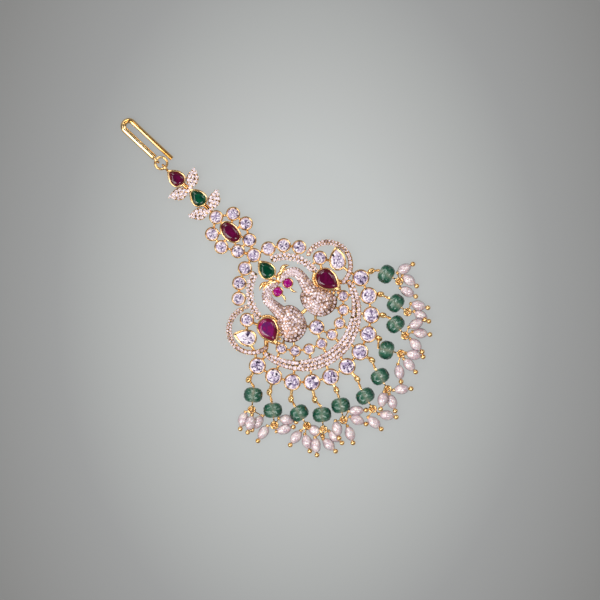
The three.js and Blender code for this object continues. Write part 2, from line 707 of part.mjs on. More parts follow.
// All that is soldered is one solid, and the seats of the larger stones are cut last.
function frame() {
  const settings = Object.values(STONES).map(({ outline, top }) => setting(outline, top));
  const seats = Object.values(STONES).map(({ outline, top }) => seat(outline, top));
  return seats.reduce((whole, cut) => whole.subtract(cut), joined([...pendant(), ...stem(), ...settings]));
}

// The hook runs from its eye up one strand, round the bend and down the free strand.
function hairHook() {
  const eye = goneFrom(ringAt, 90 + HOOK_SEAT, RING_R);
  const foot = goneFrom(eye, 180 + HOOK_TILT, EYE_R);
  const bend = HOOK_SPAN / 2;
  const straight = HOOK_LENGTH - bend;
  const bent = spread(BEND_STEPS + 1, 180 / BEND_STEPS).map((degrees) => ({
    spot: flat(bend, straight).add(turned(flat(0, bend), -degrees)),
    turn: -degrees,
  }));
  const start = { spot: flat(0, 0), turn: 90 };
  const end = { spot: flat(HOOK_SPAN, -HOOK_RETURN), turn: -90 };
  const rings = [start, ...bent, end].map(({ spot, turn }) =>
    spread(HOOK_SIDES, 360 / HOOK_SIDES).map((degrees) => {
      const out = heading(degrees).multiplyScalar(HOOK_WIRE_D / 2);
      const p = turned(turned(flat(0, out.x), turn).add(spot), HOOK_TILT).add(foot);
      return up(p, HOOK_WIRE_D / 2 + out.y);
    }),
  );
  return lofted(rings).add(standingRing(eye, RING_HEIGHT, EYE_R, RING_WIRE_D, 180 + HOOK_TILT));
}

// A drop's bead: a drilled round with a flat band, by shares of its diameter and length
const BEAD_ROWS = [
  { thick: 0.5, along: -0.5 },
  { thick: 0.98, along: -0.18 },
  { thick: 0.98, along: 0.18 },
  { thick: 0.5, along: 0.5 },
];

function bead(at, z, way) {
  const outside = BEAD_ROWS.map(({ thick, along }) => flat((BEAD_D / 2) * thick, BEAD_LENGTH * along));
  const mouths = [outside[0], outside.at(-1)].map((p) => flat(BEAD_HOLE_D / 2, p.y));
  const profile = [mouths[0], ...outside, mouths[1], mouths[0]];
  return solid(new THREE.LatheGeometry(profile, BEAD_SIDES).rotateZ(rad(way)).translate(at.x, at.y, z));
}

// A rice pearl with its pin and the ball at the far end. The pin leaves the small ring at one point, and the
// pearl lies level from another, pointing its own way.
const PEARL_ROWS = [
  { gone: 0, d: PIN_D },
  { gone: PEARL_LENGTH * 0.3, d: PEARL_D },
  { gone: PEARL_LENGTH * 0.7, d: PEARL_D },
  { gone: PEARL_LENGTH, d: PEARL_BALL_D * 0.8 },
  { gone: PEARL_LENGTH + PEARL_BALL_D * 0.5, d: PEARL_BALL_D },
  { gone: PEARL_LENGTH + PEARL_BALL_D, d: PIN_D },
];

function pearl(from, start, way) {
  const points = PEARL_ROWS.map(({ gone }) => start.clone().addScaledVector(up(heading(way), 0), gone));
  const side = start.clone().sub(from).cross(new THREE.Vector3(0, 0, 1));
  return bentWire([from, ...points], side, [PIN_D, ...PEARL_ROWS.map(({ d }) => d)], BEAD_SIDES);
}

function addDrop(row, index) {
  const beadZ = BEAD_D / 2;
  const eye = lugSpots[index];
  const beadRoom = BEAD_LENGTH / 2 + MEETING_GAP;
  const topLoop = goneFrom(eye, row.linkWay, LUG_R);
  const entry = goneFrom(topLoop, row.linkWay, LOOP_R + LINK_LENGTH * row.link);
  const middle = goneFrom(entry, row.beadWay, beadRoom);
  const lowLoop = goneFrom(middle, row.beadWay, beadRoom + WIRE_D / 2 + LOOP_R);
  const rise = new THREE.Vector3(0, 0, 1);
  const line = [
    ...eyePoints(up(topLoop, LUG_HEIGHT), LOOP_R, up(heading(row.linkWay), 0), rise),
    up(entry, beadZ),
    ...eyePoints(up(lowLoop, beadZ), LOOP_R, up(heading(row.beadWay + 180), 0), rise).reverse(),
  ];
  add(`drop_wire_${index + 1}`, bentWire(line, up(heading(row.linkWay + 90), 0)), "gold");
  add(`bead_${index + 1}`, bead(middle, beadZ, row.beadWay), "bead");

  const centre = goneFrom(lowLoop, row.beadWay, CLUSTER_R);
  const cluster = row.pearls.map(({ at, reach, way, lift }) => {
    const start = goneFrom(centre, at, PEARL_REACH * reach);
    return pearl(up(goneFrom(centre, at, CLUSTER_R), beadZ), up(start, PEARL_D * (0.5 + lift)), way);
  });
  const ring = lyingRing(centre, beadZ, CLUSTER_R, WIRE_D, BEAD_SIDES);
  add(`pearls_${index + 1}`, joined([ring, ...cluster]), "pearl");
}

add("hair_hook", hairHook(), "gold");
add("jump_ring", lyingRing(ringAt, RING_HEIGHT, RING_R, RING_WIRE_D, RING_STEPS + 2), "gold");
add("frame", frame(), "gold");
for (const [name, { outline, top, finish }] of Object.entries(STONES)) {
  add(name, cutStone(outline, top), finish);
}
DROPS.forEach(addDrop);

export default jewel;
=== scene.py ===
import math
import random

import bpy
from mathutils import Matrix, Vector


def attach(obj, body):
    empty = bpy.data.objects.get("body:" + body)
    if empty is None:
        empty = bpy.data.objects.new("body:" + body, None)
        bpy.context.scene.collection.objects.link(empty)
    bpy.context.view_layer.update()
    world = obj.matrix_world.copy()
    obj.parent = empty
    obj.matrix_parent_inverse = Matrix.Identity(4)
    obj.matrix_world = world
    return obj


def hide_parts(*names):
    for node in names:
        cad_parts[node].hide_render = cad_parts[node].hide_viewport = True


# A maang tikka lying on its back on a pale floor. Shapes are made in millimetres, +Z up out of the jewel's
# face and +Y up the stem, and finishPiece turns them to metres.
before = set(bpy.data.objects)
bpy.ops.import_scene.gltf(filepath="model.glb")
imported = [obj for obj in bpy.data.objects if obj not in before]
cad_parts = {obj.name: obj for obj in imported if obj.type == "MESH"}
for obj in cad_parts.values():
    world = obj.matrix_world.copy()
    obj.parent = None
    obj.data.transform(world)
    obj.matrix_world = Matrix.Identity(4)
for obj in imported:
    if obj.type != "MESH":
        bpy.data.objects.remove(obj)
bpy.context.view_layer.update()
bpy.ops.object.select_all(action="DESELECT")
random.seed(11)
mm = 0.001
up = Vector((0, 0, 1))


# Places
def spread(count, step):
    return [(i - (count - 1) / 2) * step for i in range(count)]


def heading(degrees):  # 0 is straight down the jewel, and positive turns towards +X
    return flat(math.sin(math.radians(degrees)), -math.cos(math.radians(degrees)))


def onCircle(y, radius, degrees, z=0):
    return Vector((0, y, z)) + heading(degrees) * radius


def turned(v, degrees):
    return Matrix.Rotation(math.radians(degrees), 3, "Z") @ v


def flat(x, y):
    return Vector((x, y, 0))


def raised(p, z):
    return Vector((p.x, p.y, z))


def choose(parts):  # selects these alone, the first one active
    bpy.ops.object.select_all(action="DESELECT")
    for part in parts:
        part.select_set(True)
    bpy.context.view_layer.objects.active = parts[0]


def putInScene(thing):
    bpy.context.scene.collection.objects.link(thing)


def standing(at, normal=up, spin=0, size=1):  # puts a model made round the origin, facing +Z
    tilt = up.rotation_difference(normal).to_matrix().to_4x4()
    return Matrix.Translation(at) @ tilt @ Matrix.Rotation(math.radians(spin), 4, "Z") @ Matrix.Scale(size, 4)


# Camera, straight above as in the photograph
photo = {"middle": (1.34, 6.92), "width": 132.0, "turn": -40.4, "distance": 900.0, "sensor": 36.0}


def setCamera():
    data = bpy.data.cameras.new("camera")
    data.sensor_width = photo["sensor"]
    data.lens = photo["sensor"] * photo["distance"] / photo["width"]
    data.clip_start = 0.01
    camera = bpy.data.objects.new("camera", data)
    camera.location = Vector((*photo["middle"], photo["distance"])) * mm
    camera.rotation_euler = (0, 0, math.radians(photo["turn"]))
    putInScene(camera)
    bpy.context.scene.camera = camera


setCamera()
bpy.context.scene.view_settings.view_transform = "Standard"
print("camera set")


# Materials
def paint(code):  # an sRGB hex colour as linear values
    parts = [int(code[i : i + 2], 16) / 255 for i in (1, 3, 5)]
    return tuple(p / 12.92 if p <= 0.04045 else ((p + 0.055) / 1.055) ** 2.4 for p in parts) + (1.0,)


def addNode(tree, kind, values=None, wires=None, **options):
    node = tree.nodes.new(kind)
    for key, value in options.items():
        setattr(node, key, value)
    for socket, value in (values or {}).items():
        node.inputs[socket].default_value = value
    for socket, source in (wires or {}).items():
        tree.links.new(source, node.inputs[socket])
    return node


def startMaterial(name, **values):
    material = bpy.data.materials.new(name)
    material.use_nodes = True
    tree = material.node_tree
    tree.nodes.clear()
    shader = addNode(tree, "ShaderNodeBsdfPrincipled", values)
    addNode(tree, "ShaderNodeOutputMaterial", wires={"Surface": shader.outputs["BSDF"]})
    return material, tree, shader


def colourSteps(tree, source, steps):  # steps are rows of position and colour
    ramp = addNode(tree, "ShaderNodeValToRGB", wires={"Fac": source})
    points = ramp.color_ramp.elements
    while len(points) < len(steps):
        points.new(0.5)
    for point, (place, code) in zip(points, steps):
        point.position = place
        point.color = paint(code)
    return ramp.outputs["Color"]


def noise(tree, size, detail=2.0):  # size in mm of the pattern's grain
    place = addNode(tree, "ShaderNodeTexCoord").outputs["Object"]
    values = {"Scale": 1 / (size * mm), "Detail": detail, "Roughness": 0.55}
    return addNode(tree, "ShaderNodeTexNoise", values, {"Vector": place}).outputs["Fac"]


def addBump(tree, shader, source, depth):  # depth in mm
    values = {"Strength": 1.0, "Distance": depth * mm}
    bump = addNode(tree, "ShaderNodeBump", values, {"Height": source})
    tree.links.new(bump.outputs["Normal"], shader.inputs["Normal"])


def goldPlate(name, low, high, roughness, grain):  # clouds between two tones, grain in mm
    material, tree, shader = startMaterial(name, Metallic=1.0, Roughness=roughness)
    cloud = colourSteps(tree, noise(tree, grain), [(0.3, low), (0.7, high)])
    tree.links.new(cloud, shader.inputs["Base Color"])
    addBump(tree, shader, noise(tree, grain * 0.5, 3.0), 0.006)
    return material


# Cast and polished brass with a thin gold plate: warm yellow gold, slightly uneven where it was buffed
polishedGold = goldPlate("polished gold plate", "#EAB672", "#FFDFAC", 0.18, 1.2)
# The birds' bed under dense small stones, unpolished; its darker, pinker tone is painted shade between the
# stones
shadedBirdBedGold = goldPlate("unpolished gold bed with painted shade under dense stones", "#7A584A", "#C29C88", 0.35, 0.9)
# Drawn and plated wire, a little redder and softer than the castings
drawnGold = goldPlate("drawn gold wire", "#DFA862", "#F8D49A", 0.2, 1.4)
# Plated steel of the hair hook, paler than the castings
hookGold = goldPlate("gold plated steel wire", "#E8BC7C", "#FADFAE", 0.15, 12.0)


def scaled(tree, source, factor):
    return addNode(tree, "ShaderNodeMath", {1: factor}, {0: source}, operation="MULTIPLY").outputs[0]


def added(tree, one, other):
    return addNode(tree, "ShaderNodeMath", wires={0: one, 1: other}, operation="ADD").outputs[0]


# The glint attribute holds painted reflections, one tone for each facet
def cutGlass(name, steps, roughness, index, clouds=0.0):  # facets take their tone from the glint attribute
    material, tree, shader = startMaterial(name, Roughness=roughness, IOR=index)
    tone = addNode(tree, "ShaderNodeAttribute", attribute_name="glint").outputs["Fac"]
    if clouds:
        tone = added(tree, tone, scaled(tree, noise(tree, 1.4), clouds))
    tree.links.new(colourSteps(tree, tone, steps), shader.inputs["Base Color"])
    return material


# Cubic zirconia, brilliant cut, with painted reflections: white and lilac facets, and dark violet ones where
# the back throws no light
zirconiaSteps = [(0.0, "#2A2036"), (0.2, "#6C5C7E"), (0.4, "#A896B6"), (0.6, "#CABBD1"), (0.8, "#F5EBF4")]
zirconia = cutGlass("brilliant cut cubic zirconia", zirconiaSteps, 0.08, 1.8)
# The tiniest zirconia show pinkish in a painted reflection of the gold under them
paveSteps = [(0.0, "#886A66"), (0.2, "#B89A94"), (0.42, "#D8BCBC"), (0.6, "#E2CCD6"), (0.8, "#F6E8F0")]
paveZirconia = cutGlass("small cut cubic zirconia", paveSteps, 0.1, 1.8)
# Red glass stones with a foiled back; their tones are a painted reflection of the foil: wine and magenta in
# the middle, dark red at the girdle
rubySteps = [(0.3, "#3A052C"), (0.42, "#50062C"), (0.52, "#680842"), (0.6, "#560222"), (0.78, "#3E0012")]
rubyGlass = cutGlass("foiled ruby glass", rubySteps, 0.07, 1.5, 0.4)
violetSteps = [(0.3, "#4A2E66"), (0.4, "#681A58"), (0.52, "#980A58"), (0.6, "#720034"), (0.78, "#4C001A")]
violetRuby = cutGlass("foiled ruby glass with a violet cloud", violetSteps, 0.07, 1.5, 0.4)
eyeSteps = [(0.0, "#80065A"), (0.5, "#9A0A74"), (1.0, "#B81892")]
eyeRuby = cutGlass("bright ruby glass", eyeSteps, 0.08, 1.5, 0.3)
# Green glass with a foiled back, with a painted reflection of the foil, brightest where it would shine
# through
emeraldSteps = [(0.2, "#002418"), (0.4, "#003826"), (0.54, "#085C3C"), (0.66, "#002E1E")]
emeraldGlass = cutGlass("foiled emerald glass", emeraldSteps, 0.07, 1.5, 0.4)


def beadGlass():
    # Cut green glass: the pale core where the drilled hole would show through is painted light, and the
    # darker rim is painted shade
    looks = {"Roughness": 0.12, "IOR": 1.5, "Transmission Weight": 0.18}
    material, tree, shader = startMaterial("cut green glass", **looks)
    paintedCore = addNode(tree, "ShaderNodeAttribute", attribute_name="paintedCore").outputs["Fac"]
    tone = scaled(tree, added(tree, paintedCore, scaled(tree, noise(tree, 1.2), 0.6)), 0.8)
    steps = [(0.16, "#969684"), (0.34, "#6C8472"), (0.53, "#356A54"), (0.78, "#1F5442"), (0.98, "#123C2E")]
    tree.links.new(colourSteps(tree, tone, steps), shader.inputs["Base Color"])
    return material


def pearlNacre():
    # Freshwater rice pearl: pinkish nacre with faint growth rings, and a painted sheen and shade that darken
    # it to mauve at its edges
    looks = {
        "Roughness": 0.28, "IOR": 1.55, "Coat Weight": 0.9, "Coat Roughness": 0.12, "Coat IOR": 1.8,
        "Subsurface Weight": 0.1, "Subsurface Scale": 0.3 * mm,
    }
    material, tree, shader = startMaterial("freshwater pearl nacre", **looks)
    cloud = colourSteps(tree, noise(tree, 0.9, 3.0), [(0.3, "#BEA2AA"), (0.5, "#D4BEC2"), (0.7, "#EEE2DE")])
    # painted sheen and shade: white where the surface faces the view, dark mauve where it turns away
    sheen = addNode(tree, "ShaderNodeLayerWeight", {"Blend": 0.4}).outputs["Facing"]
    rim = colourSteps(tree, sheen, [(0.2, "#FFFFFF"), (0.85, "#866A70")])
    layers = {6: cloud, 7: rim}  # the sockets of its two colours, and 2 is the mixed colour
    mixed = addNode(tree, "ShaderNodeMix", {"Factor": 1.0}, layers, data_type="RGBA", blend_type="MULTIPLY")
    tree.links.new(mixed.outputs[2], shader.inputs["Base Color"])
    addBump(tree, shader, noise(tree, 0.8), 0.02)
    return material


greenGlass = beadGlass()
nacre = pearlNacre()
print("materials made")


# Modelling
def editAll():
    bpy.ops.object.mode_set(mode="EDIT")
    bpy.ops.mesh.select_all(action="SELECT")


def start(addPrimitive, **size):  # adds one primitive, alone, and opens it for editing
    bpy.ops.object.select_all(action="DESELECT")
    addPrimitive(**size)
    editAll()
    return bpy.context.object


def outlineFace(points):  # a circle of vertices, pulled to the outline's points
    piece = start(bpy.ops.mesh.primitive_circle_add, vertices=len(points), radius=1, fill_type="NGON")
    bpy.ops.object.mode_set(mode="OBJECT")
    for vertex, point in zip(piece.data.vertices, points):
        vertex.co = point
    bpy.ops.object.mode_set(mode="EDIT")
    return piece


def rise(height):
    bpy.ops.mesh.extrude_region_move(TRANSFORM_OT_translate={"value": (0, 0, height)})


def stepIn(width, height=0.0):
    bpy.ops.mesh.inset(thickness=width, depth=height)


def closeEdit(piece, smoothUnder=None):  # smoothUnder in degrees; flat facets without it
    bpy.ops.mesh.select_all(action="SELECT")
    bpy.ops.mesh.normals_make_consistent(inside=False)
    bpy.ops.object.mode_set(mode="OBJECT")
    if smoothUnder:
        bpy.ops.object.shade_smooth_by_angle(angle=math.radians(smoothUnder))
    return piece


def loft(along, around, place, smoothUnder=60):
    # A grid is pulled to place(share along, share around); seams and poles are merged and open ends filled
    piece = start(bpy.ops.mesh.primitive_grid_add, x_subdivisions=along, y_subdivisions=around, size=1)
    bpy.ops.object.mode_set(mode="OBJECT")
    for vertex in piece.data.vertices:
        vertex.co = place(vertex.co.x + 0.5, vertex.co.y + 0.5)
    editAll()
    bpy.ops.mesh.remove_doubles(threshold=0.0004)
    bpy.ops.mesh.select_all(action="DESELECT")
    bpy.ops.mesh.select_non_manifold(extend=False, use_wire=False, use_multi_face=False, use_verts=False)
    bpy.ops.mesh.fill_holes(sides=0)
    return closeEdit(piece, smoothUnder)


def wire(points, radius, closed=False, sides=3):
    curve = bpy.data.curves.new("wire", "CURVE")
    curve.dimensions = "3D"
    curve.bevel_depth = radius
    curve.bevel_resolution = sides
    curve.use_fill_caps = True
    spline = curve.splines.new("POLY")
    spline.points.add(len(points) - 1)
    for point, place in zip(spline.points, points):
        point.co = (*place, 1)
    spline.use_cyclic_u = closed
    drawn = bpy.data.objects.new("wire", curve)
    putInScene(drawn)
    choose([drawn])
    bpy.ops.object.convert(target="MESH")
    made = bpy.context.object
    made.data.shade_smooth()
    return made


def ringPoints(at, radius, one, other, steps=20, first=0, last=360):  # open if it stops short of a full turn
    turns = [math.radians(first + (last - first) * i / steps) for i in range(steps + (last - first < 360))]
    return [at + Vector(one) * radius * math.cos(a) + Vector(other) * radius * math.sin(a) for a in turns]


def copies(model, places):  # the model is made once, and each copy has its own mesh, put in place
    twins = []
    for place in places:
        twin = bpy.data.objects.new(model.name, model.data.copy())
        twin.data.transform(place)
        putInScene(twin)
        twins.append(twin)
    bpy.data.objects.remove(model)
    return twins


# painted reflections: one tone for each face
def setGlint(stone, values):  # the tone that cutGlass reads, one for each face
    stone.data.attributes.new("glint", "FLOAT", "FACE").data.foreach_set("value", values)


def giveGlint(stone, middle, radius, low, high, tone=0.0, rim=0.0):
    # painted reflections: each wedge is dark, more often near the middle, or has a tone between low and high;
    # all move by tone, and rim darkens the outer facets with painted shade
    tones = {}
    values = []
    for face in stone.data.polygons:
        gone = face.center - middle
        out = min(gone.length / radius, 1)
        turn = math.atan2(gone.y, gone.x) / math.pi + 1
        wedge = (round(out * 5), int(turn * (4 + 2 * round(out * 5))))
        if wedge not in tones:
            dark = random.random() < 0.54 - 0.38 * out
            tones[wedge] = random.uniform(0, 0.35) if dark else random.uniform(low, high)
        values.append(tones[wedge] + tone - rim * (out > 0.6) + random.uniform(-0.08, 0.08))
    setGlint(stone, values)


def finishPiece(name, parts, material, slot, *nodes):
    choose(parts)
    if len(parts) > 1:
        bpy.ops.object.join()
    piece = bpy.context.object
    piece.name = name
    piece.data.transform(Matrix.Scale(mm, 4))
    piece.data.materials.clear()
    piece.data.materials.append(material)
    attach(piece, "root")
    if nodes:
        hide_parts(*nodes)


# The jewel's plan, in the solids' own sizes
settings = {"top": 2.0, "wall": 0.32, "pearWall": 0.4, "eyeWall": 0.32, "tailTop": 2.6, "tailRubyTop": 3.4}
bandTop = 1.7
stoneR = {
    "fringe": 1.58, "crown": 1.28, "flower": 1.26, "inner": 0.99, "centre": 1.42, "eye": 0.93, "tail": 1.28,
    "link": 1.43, "head": 1.5, "flowerRuby": 1.5, "tailRuby": 1.95, "tailPear": 1.5,
}
crescent = {"outerR": 12.8, "outerY": 4.35, "innerR": 12.0, "innerY": 6.35, "hornY": 3.1}
fringe = {"step": 16.3, "gap": 0.6, "bezelR": 1.7, "shift": flat(-0.25, -0.16)}
inner = {"count": 8, "step": 17.5, "gap": 1.0, "bezelR": 1.15, "widen": 0.3, "widenAt": 61}
crown = {"y": 10.2, "radius": 10.4, "count": 7, "step": 19.0, "topLift": 0.4}
arcade = {"radius": 7.9, "width": 1.05, "from": -5, "to": 74}
wing = {"x": 11.0, "y": 8.8, "radius": 5.0, "width": 1.05, "from": -92, "to": 108, "tieAt": -58}
sag = 0.25  # the birds and their rubies sit this much to the right of the disc's middle
bird = {
    "x": 3.6, "y": 4.45, "shift": 0.4, "sink": 0.15, "radius": 3.85, "dome": 1.5, "neckHalf": 1.3,
    "eyeX": 1.45, "eyeY": 11.4,
}
tail = {"sag": 0.15, "ruby": (8.35, 6.98, 192), "pear": (12.9, 7.9, -34), "round": (10.5, 11.15)}
flower = {"x": -0.62, "y": 28.2, "tilt": 3.6, "radius": 4.35}
link = {"rubyTurn": 9, "emeraldTurn": 3, "tip": 2.3}

fringeR = crescent["outerR"] + fringe["gap"] + fringe["bezelR"]
innerR = crescent["innerR"] - inner["gap"] - inner["bezelR"]
fringeTurns = spread(11, fringe["step"])
innerTurns = spread(inner["count"], inner["step"])
crownTurns = [180 + turn for turn in spread(crown["count"], crown["step"])]
fringePlan = [onCircle(crescent["outerY"], fringeR, turn) for turn in fringeTurns]
fringeSpots = [spot + fringe["shift"] for spot in fringePlan]
centreAt = flat(sag, 0)
innerSpots = []
for turn in innerTurns:
    reach = innerR + inner["widen"] * abs(turn) / inner["widenAt"]
    innerSpots.append(onCircle(crescent["innerY"], reach, turn) + centreAt)
crownReaches = [crown["radius"] + crown["topLift"] * (turn == 180) for turn in crownTurns]
crownSpots = [onCircle(crown["y"], reach, turn) for reach, turn in zip(crownReaches, crownTurns)]
rubyAt = flat(-1.95, 44.55)
emeraldAt = flat(-1.15, 38.15)
links = ((emeraldAt, link["emeraldTurn"]), (rubyAt, link["rubyTurn"]))
headAt = flat(0, 16.35)
flowerAt = flat(flower["x"], flower["y"])
petalPlan = [(180, 1.04), (127.5, 0.93), (75, 0.89), (23, 1.04), (-23, 1.04), (-75, 0.89), (-127.5, 0.93)]
petals = [flowerAt + heading(angle + flower["tilt"]) * flower["radius"] * reach for angle, reach in petalPlan]


# Outlines of stones, each a function of how far it is grown outwards
def roundOutline(radius, sides=24):
    return lambda grow: [heading(360 / sides * i) * (radius + grow) for i in range(sides)]


def ovalOutline(radius, tip, sides=28):
    def outline(grow):
        ways = [heading(360 / sides * i) for i in range(sides)]
        return [flat(way.x * (radius + grow), way.y * (tip + grow)) for way in ways]

    return outline


def pearOutline(radius, tip, point=1.8):  # point is how much faster the tip grows than the sides
    def outline(grow):
        wide = radius + grow
        reach = tip + point * grow
        arc = [heading(turn) * wide for turn in spread(15, 12)]
        shares = (0.25, 0.4, 0.55, 0.7, 0.85)
        flank = [flat(wide * (1 - share ** 2), reach * share) for share in shares]
        return [*arc, *flank, flat(0, reach), *[flat(-p.x, p.y) for p in reversed(flank)]]

    return outline


def stack(outline, rows, smoothUnder=None):
    # rows from the bottom up: growth outwards, shrink towards the middle, height
    plain = outline(0)
    middle = sum(plain, Vector()) / len(plain)

    def place(along, around):
        grow, shrink, z = rows[round(along * (len(rows) - 1))]
        points = outline(grow)
        return raised(middle + (points[round(around * len(points)) % len(points)] - middle) * shrink, z)

    return loft(len(rows) - 1, len(plain), place, smoothUnder)


# Settings: a thin rounded wall round each stone, standing on the back
def cup(outline, top, wall=settings["wall"], fall=1.0):  # fall is how much the rim drops outwards
    rim = [(1, 0.24 * fall), (0.94, 0.13 * fall), (0.8, 0.06 * fall), (0.52, 0), (0.26, 0.04), (0.06, 0.13)]
    rows = [(wall, 1, 0)] + [(wall * share, 1, top - drop) for share, drop in rim]
    return stack(outline, [*rows, (-0.06, 1, top - 0.3), (-0.1, 0.95, top - 0.6)], 50)


# A brilliant: girdle, crown and table, and the ring of wedges that show inside the table
def brilliant(outline, crownRise):
    # shrink and share of the rise
    crownRows = [(0.84, 0.5), (0.68, 0.85), (0.58, 1), (0.4, 1), (0.2, 1), (0, 1)]
    rows = [(0, shrink, crownRise * share) for shrink, share in crownRows]
    return stack(outline, [(0, 1, -0.1), (0, 1, 0.06), *rows])


# A buff-topped stone: the crown curves over into a low flat table
def buffTop(outline, crownRise):
    crownRows = [(0.93, 0.42), (0.82, 0.72), (0.68, 0.92), (0.5, 1), (0, 1.03)]
    rows = [(0, shrink, crownRise * share) for shrink, share in crownRows]
    return stack(outline, [(0, 1, -0.1), (0, 1, 0.06), *rows], 40)


def roundStones(name, radius, spots, top, *nodes):
    places = [raised(spot, top - 0.32) for spot in spots]  # at the girdle
    model = brilliant(roundOutline(radius, 16), 0.42)
    stones = copies(model, [standing(place, spin=random.uniform(0, 360)) for place in places])
    for stone, place in zip(stones, places):
        giveGlint(stone, place, radius, 0.36, 0.92)
    finishPiece(name, stones, zirconia, "white_stone", *nodes)


def placed(outline, at, turn=0):
    return lambda grow: [turned(p, turn) + at for p in outline(grow)]


mainStones = {}  # outline, top, material, slot


def addStone(node, outline, at, turn, material, slot, top=settings["top"]):
    mainStones[node] = (placed(outline, at, turn), top, material, slot)


linkPear = pearOutline(stoneR["link"], link["tip"])
tailRuby = pearOutline(stoneR["tailRuby"], 3.35, 2.7)
addStone("top_ruby", linkPear, rubyAt, link["rubyTurn"], rubyGlass, "ruby")
addStone("link_emerald", linkPear, emeraldAt, link["emeraldTurn"], emeraldGlass, "emerald")
addStone("flower_ruby", ovalOutline(stoneR["flowerRuby"], 2.45), flowerAt, flower["tilt"], rubyGlass, "ruby")
addStone("head_emerald", pearOutline(stoneR["head"], 2.35), headAt, 0, emeraldGlass, "emerald")
for side, s, tailRubyGlass in (("left", -1, violetRuby), ("right", 1, rubyGlass)):
    eyeAt = flat(sag + s * bird["eyeX"], bird["eyeY"] + 0.1)
    addStone(f"eye_ruby_{side}", roundOutline(stoneR["eye"]), eyeAt, 0, eyeRuby, "ruby")
    x, y, turn = tail["ruby"]
    at = flat(sag + 0.06 + s * x, y)
    addStone(f"tail_ruby_{side}", tailRuby, at, s * turn, tailRubyGlass, "ruby", settings["tailRubyTop"])
    x, y, turn = tail["pear"]
    at = flat(tail["sag"] + s * x, y)
    tailPear = pearOutline(stoneR["tailPear"], 2.8)
    addStone(f"tail_pear_{side}", tailPear, at, s * turn, zirconia, "white_stone", settings["tailTop"])
leftRound, rightRound = (flat(tail["sag"] + s * tail["round"][0], tail["round"][1]) for s in (-1, 1))
roundRows = [  # name, radius, spots, top and replaced node
    ("fringe_stones", stoneR["fringe"], fringeSpots, settings["top"]),
    ("inner_stones", stoneR["inner"], innerSpots, settings["top"]),
    ("crown_stones", stoneR["crown"], crownSpots, settings["top"]),
    ("flower_stones", stoneR["flower"], petals, settings["top"]),
    ("centre_brilliant", stoneR["centre"], [centreAt], settings["top"], "centre_stone"),
    ("tail_brilliant_left", stoneR["tail"], [leftRound], settings["tailTop"], "tail_round_left"),
    ("tail_brilliant_right", stoneR["tail"], [rightRound], settings["tailTop"], "tail_round_right"),
]

cups = []
for node, (outline, top, *_) in mainStones.items():
    wall = settings["eyeWall" if node.startswith("eye") else "pearWall"]
    cups.append(cup(outline, top, wall, 2.2 if "tail_ruby" in node else 1))
for _, radius, spots, top, *_ in roundRows:
    cups += copies(cup(roundOutline(radius), top), [Matrix.Translation(spot) for spot in spots])
finishPiece("setting_walls", cups, polishedGold, "gold", "frame")

for row in roundRows:
    roundStones(*row)
for node, (outline, top, material, slot) in mainStones.items():
    stone = brilliant(outline, 0.4) if material is zirconia else buffTop(outline, 0.42)
    middle = sum((v.co for v in stone.data.vertices), Vector()) / len(stone.data.vertices)
    stone.data.transform(Matrix.Translation((0, 0, top - 0.3)))
    middle.z = top - 0.3
    if material is zirconia:
        giveGlint(stone, middle, stoneR["tailPear"], 0.42, 0.95, 0.07 if "left" in node else 0)
    # painted reflection of the foil: the table and the crown get different tones
    else:  # a wine table in a darker crown; the violet cloud lies to one side
        lean = flat(-0.76, 0.65) * (0.14 / stoneR["tailRuby"] if material is violetRuby else 0)
        faces = stone.data.polygons
        setGlint(stone, [(0.2 if f.normal.z > 0.98 else 0.42) - lean.dot(f.center - middle) for f in faces])
    finishPiece(f"{node}_cut", [stone], material, slot, node)
print("settings and stones made")


# Small stones: an eight-sided girdle, crown and table, and a grain of gold beside each
def paveModel():
    piece = outlineFace(roundOutline(1, 8)(0))
    rise(0.25)
    stepIn(0.32, 0.3)
    bpy.ops.mesh.poke()
    return closeEdit(piece)


def grainModel():
    piece = start(bpy.ops.mesh.primitive_uv_sphere_add, segments=6, ring_count=4, radius=1)
    bpy.ops.transform.resize(value=(1, 1, 0.8))
    return closeEdit(piece, 80)


def setPave(name, spots, low=0.7, high=1.05, paintedShadeShare=0.08):
    # spots are rows of place, normal and radius; a stone sinks into the gold by a share of its radius
    # the last argument is the share of stones darkened with painted shade, which are more where the surface
    # falls off towards +X, away from the light
    places = [standing(at - n * radius * 0.18, n, random.uniform(0, 45), radius) for at, n, radius in spots]
    stones = copies(paveModel(), places)
    for stone, (at, n, radius) in zip(stones, spots):
        # painted shade: a share of the stones is darkened, more where they face +X, and every crown is
        # darkened a little
        dark = random.random() < paintedShadeShare + max(0, n.x) * 0.9
        giveGlint(stone, at, radius, low, high, -0.42 if dark else 0, 0.24)
    finishPiece(name, stones, paveZirconia, "white_stone")


goldGrains = []  # place, radius


def addGrains(spots, reach=1.1, size=0.27, count=3):
    for at, n, radius in spots:
        side = n.orthogonal().normalized()
        turn = random.uniform(0, 360)
        for i in range(count):
            out = Matrix.Rotation(math.radians(turn + i * 360 / count), 3, n) @ side
            goldGrains.append((at + out * radius * reach + n * 0.03, radius * size))


# Bands: a trough between two raised rims
def bandRows(width):
    rim = min(0.16, width * 0.14)
    half = [(0, 0), (0, bandTop - 0.08), (rim * 0.3, bandTop), (rim * 0.8, bandTop)]
    half.append((rim * 1.2, bandTop - 0.14))
    return half + [(width - out, z) for out, z in reversed(half)] + [half[0]]


def band(edges, steps):  # edges gives the two edge points at a share of the band's length
    count = len(bandRows(1)) - 1

    def place(along, around):
        outer, innerEdge = edges(along)
        width = (innerEdge - outer).length
        out, z = bandRows(width)[round(around * count)]
        at = outer.lerp(innerEdge, out / width)
        return raised(at, z)

    return loft(steps, count, place, 35)


